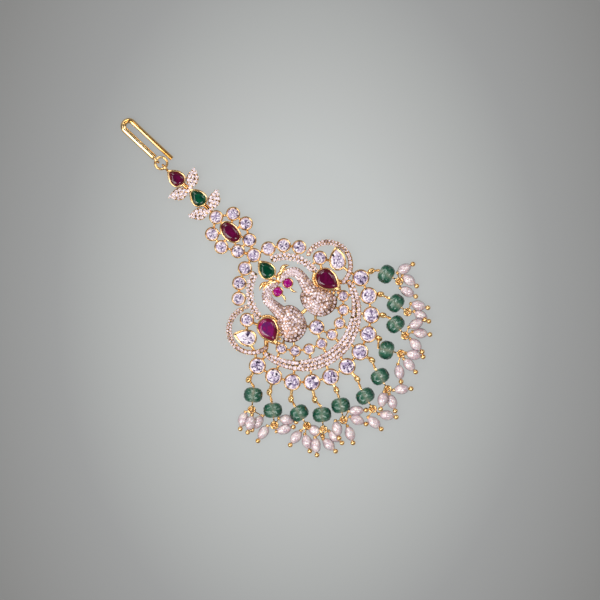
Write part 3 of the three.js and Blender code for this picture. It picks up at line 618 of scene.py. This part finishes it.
def crescentEdges(share):
    def point(radius, y):
        half = math.degrees(math.acos((y - crescent["hornY"]) / radius))
        return onCircle(y, radius, (share * 2 - 1) * half)

    return point(crescent["outerR"], crescent["outerY"]), point(crescent["innerR"], crescent["innerY"])


def arcEdges(x, y, radius, width, first, last, s):
    def edges(share):
        a = math.radians(first + (last - first) * share)
        way = flat(s * math.cos(a), math.sin(a))
        middle = flat(s * x, y)
        return middle + way * (radius + width / 2), middle + way * (radius - width / 2)

    return edges


def stretch(edges, first, last):  # a part of a band
    return lambda share: edges(first + (last - first) * share)


def rowSpots(edges, length, size, pitch, over=0.0):
    # as many staggered rows as fit across the band where they stand, and past its edges by over
    spots = []
    count = round(length / pitch)
    for k in range(3):
        for i in range(count):
            share = (i + 0.5 + 0.5 * (k % 2)) / count
            if share > 0.995:
                continue
            outer, innerEdge = edges(share)
            width = (innerEdge - outer).length
            room = width + 2 * over
            rows = max(1, math.floor(room / size + 0.45))
            if k >= rows:
                continue
            at = outer.lerp(innerEdge, (room * (k + 0.5) / rows - over) / width)
            radius = min(size / 2, room / rows / 2) * random.uniform(0.94, 1.06)
            spots.append((raised(at, bandTop - 0.08), up, radius))
    return spots


bands = [band(crescentEdges, 72)]
crescentLength = math.radians(190) * (crescent["outerR"] - 1.2)
crescentSpots = rowSpots(crescentEdges, crescentLength, 0.95, 0.96, 0.06)
wingSpots = []
arcadeSpots = []
for s in (1, -1):
    wingEdges = arcEdges(wing["x"], wing["y"], wing["radius"], wing["width"], wing["from"], wing["to"], s)
    arcadeEdges = arcEdges(0, crown["y"], arcade["radius"], arcade["width"], arcade["from"], arcade["to"], s)
    bands += [band(wingEdges, 40), band(arcadeEdges, 24)]
    wingLength = math.radians(wing["to"] - wing["from"]) * wing["radius"]
    arcadeLength = math.radians(arcade["to"] - arcade["from"]) * arcade["radius"]
    wingSpots += rowSpots(stretch(wingEdges, 0, 0.42), wingLength * 0.42, 0.95, 0.94)
    wingSpots += rowSpots(stretch(wingEdges, 0.42, 1), wingLength * 0.58, 0.66, 0.72, 0.12)
    arcadeSpots += rowSpots(arcadeEdges, arcadeLength, 0.84, 0.88, 0.32)
    for x, y in ((9.0 + 0.3 * s, 13.4), (10.0 + 0.3 * s, 13.75)):
        wingSpots.append((Vector((s * x, y, bandTop - 0.08)), up, 0.42))
        goldGrains.append((Vector((s * x, y, bandTop - 0.3)), 0.55))


# Leaves: a pair under each pear link
leaf = {"length": 4.3, "width": 2.8, "drop": 3.5, "spread": 0.45, "rise": 32, "stones": 1.08}
leafShares = [(0, 0), (0.25, 0.4), (0.5, 0.5), (0.78, 0.33), (1, 0)]


def leafHalf(along):
    for (a, b), (c, d) in zip(leafShares, leafShares[1:]):
        if along <= c:
            return (b + (d - b) * (along - a) / (c - a)) * leaf["width"]
    return 0


def leafPlace(at, tilt, s):
    def place(along, across):
        p = turned(flat(leaf["length"] * along, leaf["width"] * across), leaf["rise"])
        return turned(flat(s * (p.x + leaf["spread"]), p.y - leaf["drop"]), tilt) + at

    return place


leafSpots = []
leafRows = [  # share along and across, radius
    (0.02, 0.05, 0.42), (0.19, 0.12, 0.44), (0.2, -0.16, 0.4), (0.38, 0.28, 0.42), (0.4, -0.02, 0.44),
    (0.39, -0.31, 0.4), (0.59, 0.26, 0.4), (0.6, -0.04, 0.38), (0.6, -0.3, 0.38), (0.77, 0.12, 0.42),
    (0.8, -0.16, 0.36), (0.95, 0.0, 0.38),
]
for at, tilt in links:
    for s in (1, -1):
        place = leafPlace(at, tilt, s)

        def leafEdges(share):
            along = 0.02 + 0.96 * share
            half = max(leafHalf(along), 0.12) / leaf["width"]
            return place(along, -half), place(along, half)

        bands.append(band(leafEdges, 14))
        for along, across, radius in leafRows:
            spot = place(along, across)
            leafSpots.append((raised(spot, bandTop - 0.1), up, radius * leaf["stones"]))
finishPiece("band_plates", bands, polishedGold, "gold")
setPave("crescent_stones", crescentSpots)
setPave("loop_stones", wingSpots, 0.55, 0.95, 0.25)
setPave("arcade_stones", arcadeSpots, 0.84, 1.1, 0.02)
setPave("leaf_stones", leafSpots, 0.95, 1.25, 0)
for spots in (crescentSpots, wingSpots, arcadeSpots, leafSpots):
    addGrains(spots)
print("bands and leaves made")


# Birds: a domed body and an arched neck, all over small stones, with an eye, crest and beak
bodyReaches = [0.86, 0.84, 0.9, 0.98, 1.0, 0.86, 0.76, 0.78, 0.88, 0.98, 1.1, 1.12]
neckRows = [  # out and along from the body's middle in its radius, half width, ridge
    (0.1, 0.2, 0.9, 0.9), (0.11, 0.7, 1.2, 0.85), (0.15, 1.1, 1.08, 0.75),
    (0.2, 1.5, 0.92, 0.6), (0.2, 1.86, 0.88, 0.5), (0.05, 2.12, 0.82, 0.45),
    (-0.25, 2.25, 0.64, 0.4), (-0.6, 2.24, 0.5, 0.35), (-0.82, 2.17, 0.22, 0.3),
]


def between(p, q, r, w, t):  # a smooth curve from q to r, whose neighbours are p and w
    return q + 0.5 * t * (r - p + t * (2 * p - 5 * q + 4 * r - w + t * (3 * (q - r) + w - p)))


def smoothMix(values, share):  # a smooth curve through a closed list of values
    place = share * len(values)
    i = int(math.floor(place))
    return between(*(values[(i + k) % len(values)] for k in (-1, 0, 1, 2)), place - i)


def bodyPoint(s, turn, out):  # turn is a share of the way round, out is 1 at the edge
    reach = bird["radius"] * smoothMix(bodyReaches, turn) * out
    a = math.radians(360 * turn)
    z = bandTop - 0.1 + bird["dome"] * max(0, 1 - out * out) ** 0.6
    x = bird["shift"] + s * (bird["x"] + reach * math.cos(a))
    return Vector((x, bird["y"] - bird["sink"] + reach * math.sin(a), z))


def openMix(rows, share):  # a smooth curve through rows of values, from the first to the last
    place = share * (len(rows) - 1)
    i = min(int(place), len(rows) - 2)
    four = (rows[min(max(i + k, 0), len(rows) - 1)] for k in (-1, 0, 1, 2))
    return [between(*values, place - i) for values in zip(*four)]


def sideways(rows, along):  # square to the curve at this share of it
    back = openMix(rows, max(along - 0.02, 0))
    ahead = openMix(rows, min(along + 0.02, 1))
    return flat(back[1] - ahead[1], ahead[0] - back[0]).normalized()


def neckPoint(s, along, across):  # across runs from -1 to 1
    out, reach, half, ridge = openMix(neckRows, along)
    p = flat(bird["x"] + bird["radius"] * out, bird["y"] + bird["radius"] * reach)
    p += sideways(neckRows, along) * across * bird["neckHalf"] * half
    z = bandTop - 0.1 + bird["dome"] * ridge * max(0, 1 - across * across) ** 0.5
    return Vector((bird["shift"] + s * p.x, p.y, z))


def surfaceSpot(point, a, b, radius):  # a stone on a surface point(a, b), facing away from it
    at = point(a, b)
    one = point(a + 0.01, b) - at
    other = point(a, b + 0.01) - at
    n = one.cross(other).normalized()
    n = n if n.z > 0 else -n
    return at, n, radius


birdSpots = []
birdGold = []
birdBed = []
for s in (1, -1):
    def bodyAt(along, around):
        if along < 0.08:
            return Vector((*bodyPoint(s, around, 1)[:2], 0))
        return bodyPoint(s, around, max(0, 1 - (along - 0.1) / 0.9))

    birdBed.append(loft(12, 48, bodyAt))

    def neckAt(along, around):
        if around in (0, 1):
            return Vector((*neckPoint(s, along, -1)[:2], 0))
        if around > 0.93:
            return Vector((*neckPoint(s, along, 1)[:2], 0))
        across = math.cos(math.pi * (1 - (around - 0.0625) / 0.8125)) if around > 0.06 else -1
        return neckPoint(s, along, across)

    birdBed.append(loft(24, 16, neckAt))
    for out in (0.9, 0.71, 0.52, 0.33, 0.13):
        count = max(3, round(2 * math.pi * bird["radius"] * 0.92 * out / 0.74))
        for i in range(count):
            turn = (i + out * 3 + random.uniform(-0.14, 0.14)) / count % 1
            there = out + random.uniform(-0.02, 0.02)
            radius = 0.38 * random.uniform(0.88, 1.1)
            birdSpots.append(surfaceSpot(lambda a, b: bodyPoint(s, a, b), turn, there, radius))
    for i in range(19):
        half = openMix(neckRows, (i + 0.5) / 19)[2]
        rows = 4 if half > 0.78 else 3 if half > 0.56 else 2 if half > 0.4 else 1
        for row, across in enumerate(spread(rows, 1.9 / rows)):
            along = min((i + 0.5 + 0.5 * (row % 2)) / 19, 0.985)
            radius = 0.37 * random.uniform(0.88, 1.1)
            at, n, radius = surfaceSpot(lambda a, b: neckPoint(s, a, b), along, across, radius)
            gone = Vector((s * (at.x - bird["shift"]) - bird["x"], at.y - bird["y"]))
            turn = math.atan2(gone.y, gone.x) / (2 * math.pi) % 1
            out = gone.length / bird["radius"] / smoothMix(bodyReaches, turn)
            if out > 1 or at.z > bodyPoint(s, turn, out).z - 0.1:
                birdSpots.append((at, n, radius))

    def plume(points, width, tall):  # a feather along a bent line, pointed at its far end
        def place(along, around):
            here = openMix(points, min(along, 0.999))
            half = width * (0.35 + 0.65 * math.sin(math.pi * min(along * 1.15, 1))) * min(1, (1 - along) * 4)
            a = 2 * math.pi * around
            side = sideways(points, along) * half * math.cos(a)
            z = 1.5 + tall * half / width * math.sin(a)
            return Vector((sag + s * (here[0] + side.x), here[1] + side.y, z))

        return loft(16, 12, place)

    crest = [(0.3, 12.5), (0.4, 13.3), (1.0, 13.95), (2.1, 14.1), (3.1, 13.95), (3.9, 13.8)]
    birdGold.append(plume(crest, 0.6, 0.6))
    birdGold.append(plume([(1.7, 14.35), (2.7, 14.75), (3.5, 14.7), (4.4, 14.2)], 0.5, 0.5))
    birdGold.append(plume([(1.2, 10.5), (1.15, 9.9), (1.3, 9.2), (1.85, 8.5)], 0.3, 0.35))
    x, y, turn = tail["ruby"]
    scallops = placed(tailRuby, flat(sag + s * x, y), s * turn)(0.62)
    for point in scallops:  # only those on the body's side
        if abs(point.x - sag) < 7.4 or (abs(point.x - sag) < 8.6 and point.y < 5.5):
            goldGrains.append((raised(point, 1.9), 0.42))
finishPiece("bird_bodies", birdBed, shadedBirdBedGold, "gold")
finishPiece("bird_crests_and_beaks", birdGold, polishedGold, "gold")
setPave("bird_stones", birdSpots, 0.56, 0.95, 0.14)
addGrains(birdSpots, 1.05, 0.27, 2)
print("birds made")


# Solder: dots between settings, ties and lugs
# Headings and shares as in the solids; a pearl is its place round the ring, reach, way and lift
drops = [
    {"lug": (-72, 1.0), "link": (-4, 0.7), "way": -46,
     "pearls": [(-110, 1.0, -57, 0.1), (-38, 0.8, -54, 0.75), (19, 1.8, -77, 0)]},
    {"lug": (-56, 1.0), "link": (-27, 0.95), "way": -34,
     "pearls": [(-122, 1.05, -73, 0), (-22, 1.0, 65, 0), (105, 1.2, 38, 0)]},
    {"lug": (-46, 1.1), "link": (-11, 0.5), "way": -9,
     "pearls": [(-91, 1.2, -77, 0.1), (-54, 1.3, -24, 0), (30, 0.2, 15, 0)]},
    {"lug": (-33, 1.15), "link": (2, 0.75), "way": -34,
     "pearls": [(-87, 1.7, -34, 0.7), (-42, 1.4, 5, 0), (31, 0.85, 8, 0)]},
    {"lug": (-20, 0.8), "link": (-21, 0.45), "way": -29,
     "pearls": [(-124, 1.2, -28, 0.75), (-8, 1.1, -22, 0), (75, 1.1, 25, 0), (110, 1.55, 52, 0.1)]},
    {"lug": (-5, 0.95), "link": (-20, 1.0), "way": -10,
     "pearls": [(-68, 1.4, 8, 0), (12, 1.2, 39, 0)]},
    {"lug": (10, 0.75), "link": (-19, 0.9), "way": -9,
     "pearls": [(-95, 0.65, -52, 0.65), (-24, 0.8, -20, 0), (43, 0.9, 54, 0)]},
    {"lug": (21, 0.38), "link": (-42, 0.85), "way": 36,
     "pearls": [(-56, 1.65, -30, 0), (-12, 0.9, 2, 0), (54, 0.75, 38, 0)]},
    {"lug": (42, 0.38), "link": (28, 0.45), "way": 0,
     "pearls": [(16, 0.9, 3, 0), (76, 1.25, 41, 0), (116, 1.4, 74, 0.75)]},
    {"lug": (50, 0.38), "link": (24, 0.75), "way": 13,
     "pearls": [(54, 1.0, 16, 0), (117, 1.35, 36, 0)]},
    {"lug": (78, 0.38), "link": (56, 0.45), "way": 21,
     "pearls": [(150, 1.3, 79, 0), (109, 0.95, 14, 0), (-30, 1.0, 21, 0)]},
]
hang = {"lugR": 0.58, "lugLength": 2.1, "lugZ": 1.0, "loopR": 0.55, "link": 1.2, "wire": 0.4, "gap": 0.12}
beadSize = {"width": 4.3, "length": 3.4, "flat": 0.89, "level": 1.93}
pearlSize = {"length": 3.35, "width": 2.26, "ball": 1.14, "lift": 1.95, "reach": 1.5, "ring": 0.72}

lugSpots = []
for at, drop in zip(fringePlan, drops):
    turn, share = drop["lug"]
    lugSpots.append(at + heading(turn) * (fringe["bezelR"] + hang["lugLength"] * share))
ties = []


def tie(one, other, radius=0.3, z=0.75):
    ties.append(wire([raised(one, z), raised(other, z)], radius))


def dot(one, other, share=0.5, radius=0.36, z=1.35):
    goldGrains.append((raised(one.lerp(other, share), z), radius))


for line in (fringeSpots, crownSpots, [*petals, petals[0]]):
    for one, other in zip(line, line[1:]):
        dot(one, other, radius=0.34)
        tie(one, other, 0.24)
for at, turn in zip(fringeSpots, fringeTurns):
    edge = onCircle(crescent["outerY"], crescent["outerR"] - 0.2, turn)
    tie(at, edge)
    goldGrains.append((onCircle(crescent["outerY"], crescent["outerR"] + 0.2, turn, 1.3), 0.34))
for at, turn in zip(innerSpots, innerTurns):
    edge = onCircle(crescent["innerY"], crescent["innerR"] + 0.2, turn)
    tie(at, edge)
    goldGrains.append((onCircle(crescent["innerY"], crescent["innerR"] - 0.45, turn, 1.2), 0.36))
for one, other in zip(innerSpots, innerSpots[1:]):
    if one.x * other.x > 0:
        tie(one, other, 0.22)
        dot(one, other, radius=0.3)
for i, (at, turn) in enumerate(zip(crownSpots, crownTurns)):
    if i != 3:
        tie(at, onCircle(crown["y"], arcade["radius"], turn))
        goldGrains.append((onCircle(crown["y"], arcade["radius"] + 0.85, turn, 1.3), 0.32))
centre = flat(0, 0)
tie(flat(bird["x"], bird["y"]), flat(-bird["x"], bird["y"]), 0.42, 1.2)
for s in (1, -1):
    body = flat(s * bird["x"], bird["y"])
    ruby = flat(s * 8.35, 7.15)
    roundAt = flat(s * 10.55, 11.25)
    pearAt = flat(s * 12.9, 7.95)
    wingFoot = flat(s * wing["x"], wing["y"] - wing["radius"])
    horn = flat(s * 12.5, crescent["hornY"] - 0.3)
    turnIn = math.radians(wing["tieAt"])
    wingSide = flat(math.cos(turnIn), math.sin(turnIn)) * wing["radius"]
    wingSide = flat(s * (wing["x"] + wingSide.x), wing["y"] + wingSide.y)
    end = fringeSpots[10 if s > 0 else 0]
    ownInner = innerSpots[4:] if s > 0 else innerSpots[3::-1]  # from the middle outwards
    for one, other, radius in (
        (centre, body, 0.3), (body, ruby, 0.5), (ruby, wingFoot, 0.5), (wingFoot, horn, 0.45),
        (ruby, roundAt, 0.3), (roundAt, pearAt, 0.3), (pearAt, wingSide, 0.3), (wingSide, end, 0.3),
        (body, ownInner[2], 0.28), (body, ownInner[3], 0.28),
        (roundAt, onCircle(crown["y"], arcade["radius"], 180 - s * 84), 0.3),
        (flat(s * bird["eyeX"], bird["eyeY"]), headAt, 0.3), (centre, ownInner[0], 0.25),
    ):
        tie(one, other, radius)
for at in petals:
    dot(at, flowerAt, 0.44, 0.34)
    tie(at, flowerAt, 0.2)
for at in (petals[3], petals[4]):
    tie(at, at.lerp(crownSpots[3], 0.75), 0.3)
    dot(at, crownSpots[3], 0.52, 0.42)
for at, tilt in links:
    foot = turned(flat(0, -leaf["drop"]), tilt) + at
    tie(foot, at, 0.45)
    for s in (1, -1):
        end = turned(flat(s * 1.7, -leaf["drop"] * 0.8), tilt) + at
        tie(foot, end, 0.42)
        goldGrains.append((turned(Vector((s * 0.85, -leaf["drop"] + 0.2, 1.5)), tilt) + at, 0.36))
    goldGrains.append((foot + up * 1.35, 0.42))
tie(petals[0], emeraldAt, 0.45)
tie(emeraldAt, rubyAt, 0.45)

for at, spot, drop in zip(fringeSpots, lugSpots, drops):  # a lug is a stem and a thick eye on edge
    way = heading(drop["lug"][0])
    side = heading(drop["lug"][0] + 90)
    root = at + way * (fringe["bezelR"] - 0.15)
    neck = spot - way * 0.5
    ties.append(wire([raised(root, 1.0), raised(neck, 1.0)], 0.34))
    lift = (side * 0.55 + up).normalized()
    ties.append(wire(ringPoints(raised(spot, 1.1), 0.45, way, lift), 0.43, True))
print("solder made")

grains = copies(grainModel(), [standing(at, size=radius) for at, radius in goldGrains])
finishPiece("solder_grains", grains, polishedGold, "gold")
finishPiece("ties_and_lugs", ties, drawnGold, "gold")


# Hook, jump ring and the stem's eye
hook = {
    "wire": 1.2, "length": 10.1, "back": 2.9, "span": 2.45, "tilt": 6.6, "seat": 110, "groove": 0.24,
    "thick": 1.1, "thinner": 0.24,
}
ring = {"radius": 1.32, "wire": 0.58, "z": 1.62, "eye": 0.75}
rubyTip = turned(flat(0, link["tip"] + 1.5 * 0.3), link["rubyTurn"]) + rubyAt
stemEye = rubyTip + heading(180)
ringAt = stemEye + heading(180) * ring["radius"]
hookEye = ringAt + heading(90 + hook["seat"]) * ring["radius"]
hookFoot = hookEye + heading(180 + hook["tilt"]) * ring["eye"] + flat(0.2, -0.15)


def hookPath(share):  # up one strand, round the bend, and down the free strand
    bend = hook["span"] / 2
    straight = hook["length"] - bend
    arc = math.pi * bend
    total = straight + arc + straight + hook["back"]
    gone = share * total
    if gone <= straight:
        return flat(0, gone), flat(-1, 0)
    if gone <= straight + arc:
        a = (gone - straight) / bend
        at = flat(bend - bend * math.cos(a), straight + bend * math.sin(a))
        return at, flat(-math.cos(a), math.sin(a))
    return flat(hook["span"], straight - (gone - straight - arc)), flat(1, 0)


def hookPlace(along, around):  # the free strand is thinner, with a groove along its top
    at, out = hookPath(along)
    a = 2 * math.pi * around
    r = hook["wire"] / 2 * (hook["thick"] - hook["thinner"] * min(max(along * 5 - 2, 0), 1))
    toTop = abs(math.sin(a / 2 - math.pi / 4))
    r -= hook["groove"] if toTop < 0.11 and along > 0.42 else 0
    local = at + out * r * math.cos(a)
    p = turned(local, hook["tilt"]) + hookFoot
    return raised(p, hook["wire"] / 2 + r * math.sin(a))


hookBody = loft(120, 32, hookPlace, 35)
hookWay = heading(180 + hook["tilt"])
hookLoop = wire(ringPoints(hookEye + up * ring["z"], ring["eye"], hookWay, up), ring["wire"] / 2, True)
finishPiece("hook_wire", [hookBody, hookLoop], hookGold, "gold", "hair_hook")
lying = ringPoints(ringAt + up * ring["z"], ring["radius"], (1, 0, 0), (0, 1, 0), 28, 52, 408)
finishPiece("ring_wire", [wire(lying, ring["wire"] / 2)], drawnGold, "gold", "jump_ring")
eyeLoop = wire(ringPoints(stemEye + up * ring["z"], ring["eye"], (0, 1, 0), up), ring["wire"] / 2, True)
foot = rubyTip - heading(180) * 0.1
eyeStem = wire([foot + up * 1.1, stemEye - heading(180) * ring["eye"] + up * ring["z"]], ring["wire"] / 2)
finishPiece("stem_eye", [eyeLoop, eyeStem], drawnGold, "gold")


# Drops: looped wire, cut bead, and pinned pearls on a small ring
def beadModel():  # twelve sides and ten rings of facets, dimpled at the hole
    rows = [(0.3, -1.1), (0.42, -1.46), (1.0, -1.6), (1.62, -1.33), (2.02, -0.74), (2.15, 0.0)]
    rows += [(radius, -length) for radius, length in reversed(rows[:-1])]

    def place(along, around):
        i = round(along * (len(rows) - 1))
        radius, length = rows[i]
        a = 2 * math.pi * (around + (i % 2) / 24)
        return Vector((radius * math.cos(a), length, radius * math.sin(a) * beadSize["flat"]))

    piece = loft(len(rows) - 1, 12, place, 12)
    editAll()
    bpy.ops.mesh.subdivide(number_cuts=3)
    closeEdit(piece, 12)
    # painted light and shade for the glass: 0 along the axis, where it is painted pale, and 1 at the sides,
    # where it is painted dark
    out = [min(1, abs(v.co.x) / (beadSize["width"] / 2)) for v in piece.data.vertices]
    piece.data.attributes.new("paintedCore", "FLOAT", "POINT").data.foreach_set("value", out)
    return piece


def pearlModel(seed):
    random.seed(seed)
    lump = [random.uniform(-0.05, 0.05) for _ in range(6)]

    def place(along, around):
        a = 2 * math.pi * around
        t = math.pi * along
        thick = math.sin(t) ** 0.5 * (1 + lump[0] * math.cos(t) + lump[1] * math.cos(2 * t))
        r = pearlSize["width"] / 2 * thick * (1 + lump[2] * math.cos(a + lump[3] * 40))
        return Vector((r * math.cos(a), -pearlSize["length"] * along, r * math.sin(a)))

    return loft(18, 16, place)


def twist(one, other, radius, strand, turns):  # two strands wound round each other
    length = (other - one).length
    way = (other - one).normalized()
    side = way.orthogonal().normalized()
    made = []
    for start in (0, math.pi):
        points = []
        for i in range(int(turns * 8) + 1):
            share = i / (turns * 8)
            out = Matrix.Rotation(start + share * turns * 2 * math.pi, 3, way) @ side
            points.append(one + way * length * share + out * radius)
        made.append(wire(points, strand, sides=2))
    return made


def coil(one, way, radius, strand, turns, pitch):
    side = way.orthogonal().normalized()
    points = []
    for i in range(int(turns * 10) + 1):
        share = i / 10
        out = Matrix.Rotation(share * 2 * math.pi, 3, way) @ side
        points.append(one + way * pitch * share + out * radius)
    return wire(points, strand, sides=2)


for number, (spot, drop) in enumerate(zip(lugSpots, drops), 1):
    linkWay, linkShare = drop["link"]
    room = beadSize["length"] / 2 + hang["gap"]
    topLoop = spot + heading(linkWay) * hang["lugR"]
    entry = topLoop + heading(linkWay) * (hang["loopR"] + hang["link"] * linkShare)
    way = heading(drop["way"])
    middle = entry + way * room
    lowLoop = middle + way * (room + hang["wire"] / 2 + hang["loopR"])
    ringMiddle = lowLoop + way * pearlSize["ring"]
    level = up * beadSize["level"]

    inLug = ringPoints(topLoop + up * hang["lugZ"], hang["loopR"] - 0.1, heading(linkWay), up)
    wires = [wire(inLug, 0.25, True)]
    knot = topLoop + heading(linkWay) * (hang["loopR"] + 0.1) + up * (hang["lugZ"] + 0.2)
    wires += twist(knot, entry + level, 0.15, 0.17, 1.5)
    wires.append(wire([entry + level, lowLoop - way * hang["loopR"] + level], 0.15))
    wires.append(wire(ringPoints(lowLoop + level, hang["loopR"], way, up), 0.17, True))
    finishPiece(f"drop_wire_{number}_wound", wires, drawnGold, "gold", f"drop_wire_{number}")

    bead = beadModel()
    bead.data.transform(standing(middle + level, spin=drop["way"]))
    finishPiece(f"bead_{number}_cut", [bead], greenGlass, "bead", f"bead_{number}")

    pearls = []
    pearlRing = ringPoints(ringMiddle + level, pearlSize["ring"], way, heading(drop["way"] + 90))
    pins = [wire(pearlRing, 0.22, True)]
    pins.append(coil(ringMiddle + level - way * 0.6, way, 0.42, 0.15, 3.0, 0.32))
    for k, (at, reach, pearlWay, lift) in enumerate(drop["pearls"]):
        height = pearlSize["width"] * 0.52 + pearlSize["lift"] * lift
        begin = ringMiddle + heading(at) * pearlSize["reach"] * reach + up * height
        here = heading(pearlWay)
        pearl = pearlModel(number * 10 + k)
        pearl.data.transform(standing(begin, spin=pearlWay))
        pearls.append(pearl)
        fromRing = ringMiddle + heading(at) * pearlSize["ring"] + level
        pins.append(wire([fromRing, begin, begin + here * (pearlSize["length"] + 0.2)], 0.15))
        pins.append(coil(begin - here * 0.3, here, 0.27, 0.15, 3.0, 0.2))
        ball = start(bpy.ops.mesh.primitive_uv_sphere_add, segments=12, ring_count=8, radius=1)
        bpy.ops.transform.resize(value=(1, 1, 0.92))
        closeEdit(ball, 80)
        end = begin + here * (pearlSize["length"] + pearlSize["ball"] * 0.42)
        ball.data.transform(standing(end, size=pearlSize["ball"] / 2))
        pins.append(ball)
    finishPiece(f"pearls_{number}_nacre", pearls, nacre, "pearl", f"pearls_{number}")
    finishPiece(f"pearls_{number}_pins", pins, drawnGold, "gold")
print("drops made")


# Floor and light
# The floor's painted light: a glow share that hides shadows, and a falloff that darkens it away from the
# middle
floorShade = {"wide": 78.9, "tall": 114.4, "glow": 0.88, "lift": 1.05}
paintedFloorFalloff = [
    (0.0, "#C2C5C4"), (0.29, "#B9BCBB"), (0.41, "#B0B2B1"),
    (0.54, "#A4A6A5"), (0.68, "#959696"), (1.0, "#80807F"),
]
# The room round the jewel, from the ground up
roomSteps = [
    (0.0, "#30261C"), (0.14, "#7A7068"), (0.34, "#F4F0E8"), (0.6, "#9C9890"),
    (0.82, "#FFFFFF"), (0.93, "#8A8680"), (1.0, "#6A6864"),
]
lamps = [  # name, place, size, power
    ("left box", (-420, 60, 330), (300, 420), 1.4),
    ("upper box", (60, 480, 300), (420, 160), 0.7),
    ("right box", (430, -120, 300), (200, 300), 0.4),
    ("left panel", (-480, -60, 900), (300, 300), 2.0),
    ("side panel", (-365, 311, 900), (240, 240), 0.7),
    ("upper panel", (120, 500, 900), (260, 260), 1.45),
    ("right panel", (480, 0, 900), (260, 260), 1.1),
    ("lower panel", (-60, -480, 900), (260, 260), 1.45),
]


def makeFloor():
    floor = start(bpy.ops.mesh.primitive_plane_add, size=4)
    closeEdit(floor)
    floor.name = "floor"
    floor.location.z = -0.00002
    # Matt floor, darker towards its edges by a painted falloff of light, with a painted glow so that it
    # hardly takes a shadow
    material, tree, shader = startMaterial("floor with painted glow and falloff", Roughness=0.9)
    place = addNode(tree, "ShaderNodeTexCoord").outputs["Object"]
    values = {
        "Location": Vector((*photo["middle"], 0)) * mm,
        "Rotation": (0, 0, math.radians(photo["turn"])),
        "Scale": (floorShade["wide"] * mm, floorShade["tall"] * mm, 1),
    }
    mapped = addNode(tree, "ShaderNodeMapping", values, {"Vector": place}, vector_type="TEXTURE")
    reach = addNode(tree, "ShaderNodeVectorMath", wires={0: mapped.outputs["Vector"]}, operation="LENGTH")
    shade = colourSteps(tree, reach.outputs["Value"], paintedFloorFalloff)
    lit = addNode(tree, "ShaderNodeVectorMath", {3: 1 - floorShade["glow"]}, {0: shade}, operation="SCALE")
    tree.links.new(lit.outputs["Vector"], shader.inputs["Base Color"])
    tree.links.new(shade, shader.inputs["Emission Color"])
    shader.inputs["Emission Strength"].default_value = floorShade["glow"] * floorShade["lift"]
    floor.data.materials.append(material)


def softBox(name, place, size, power, target=(0, 8, 0)):
    data = bpy.data.lights.new(name, "AREA")
    data.shape = "RECTANGLE"
    data.size, data.size_y = (side * mm for side in size)
    data.energy = power
    lamp = bpy.data.objects.new(name, data)
    lamp.location = Vector(place) * mm
    lamp.rotation_euler = (Vector(target) - Vector(place)).to_track_quat("-Z", "Y").to_euler()
    putInScene(lamp)


def makeLight():
    world = bpy.data.worlds.new("studio")
    world.use_nodes = True
    bpy.context.scene.world = world
    tree = world.node_tree
    way = addNode(tree, "ShaderNodeTexCoord").outputs["Generated"]
    height = addNode(tree, "ShaderNodeSeparateXYZ", wires={"Vector": way}).outputs["Z"]
    room = colourSteps(tree, height, roomSteps)
    backdrop = tree.nodes["Background"]
    tree.links.new(room, backdrop.inputs["Color"])
    backdrop.inputs["Strength"].default_value = 0.36
    for lamp in lamps:
        softBox(*lamp)


makeFloor()
makeLight()
print("floor and light made")
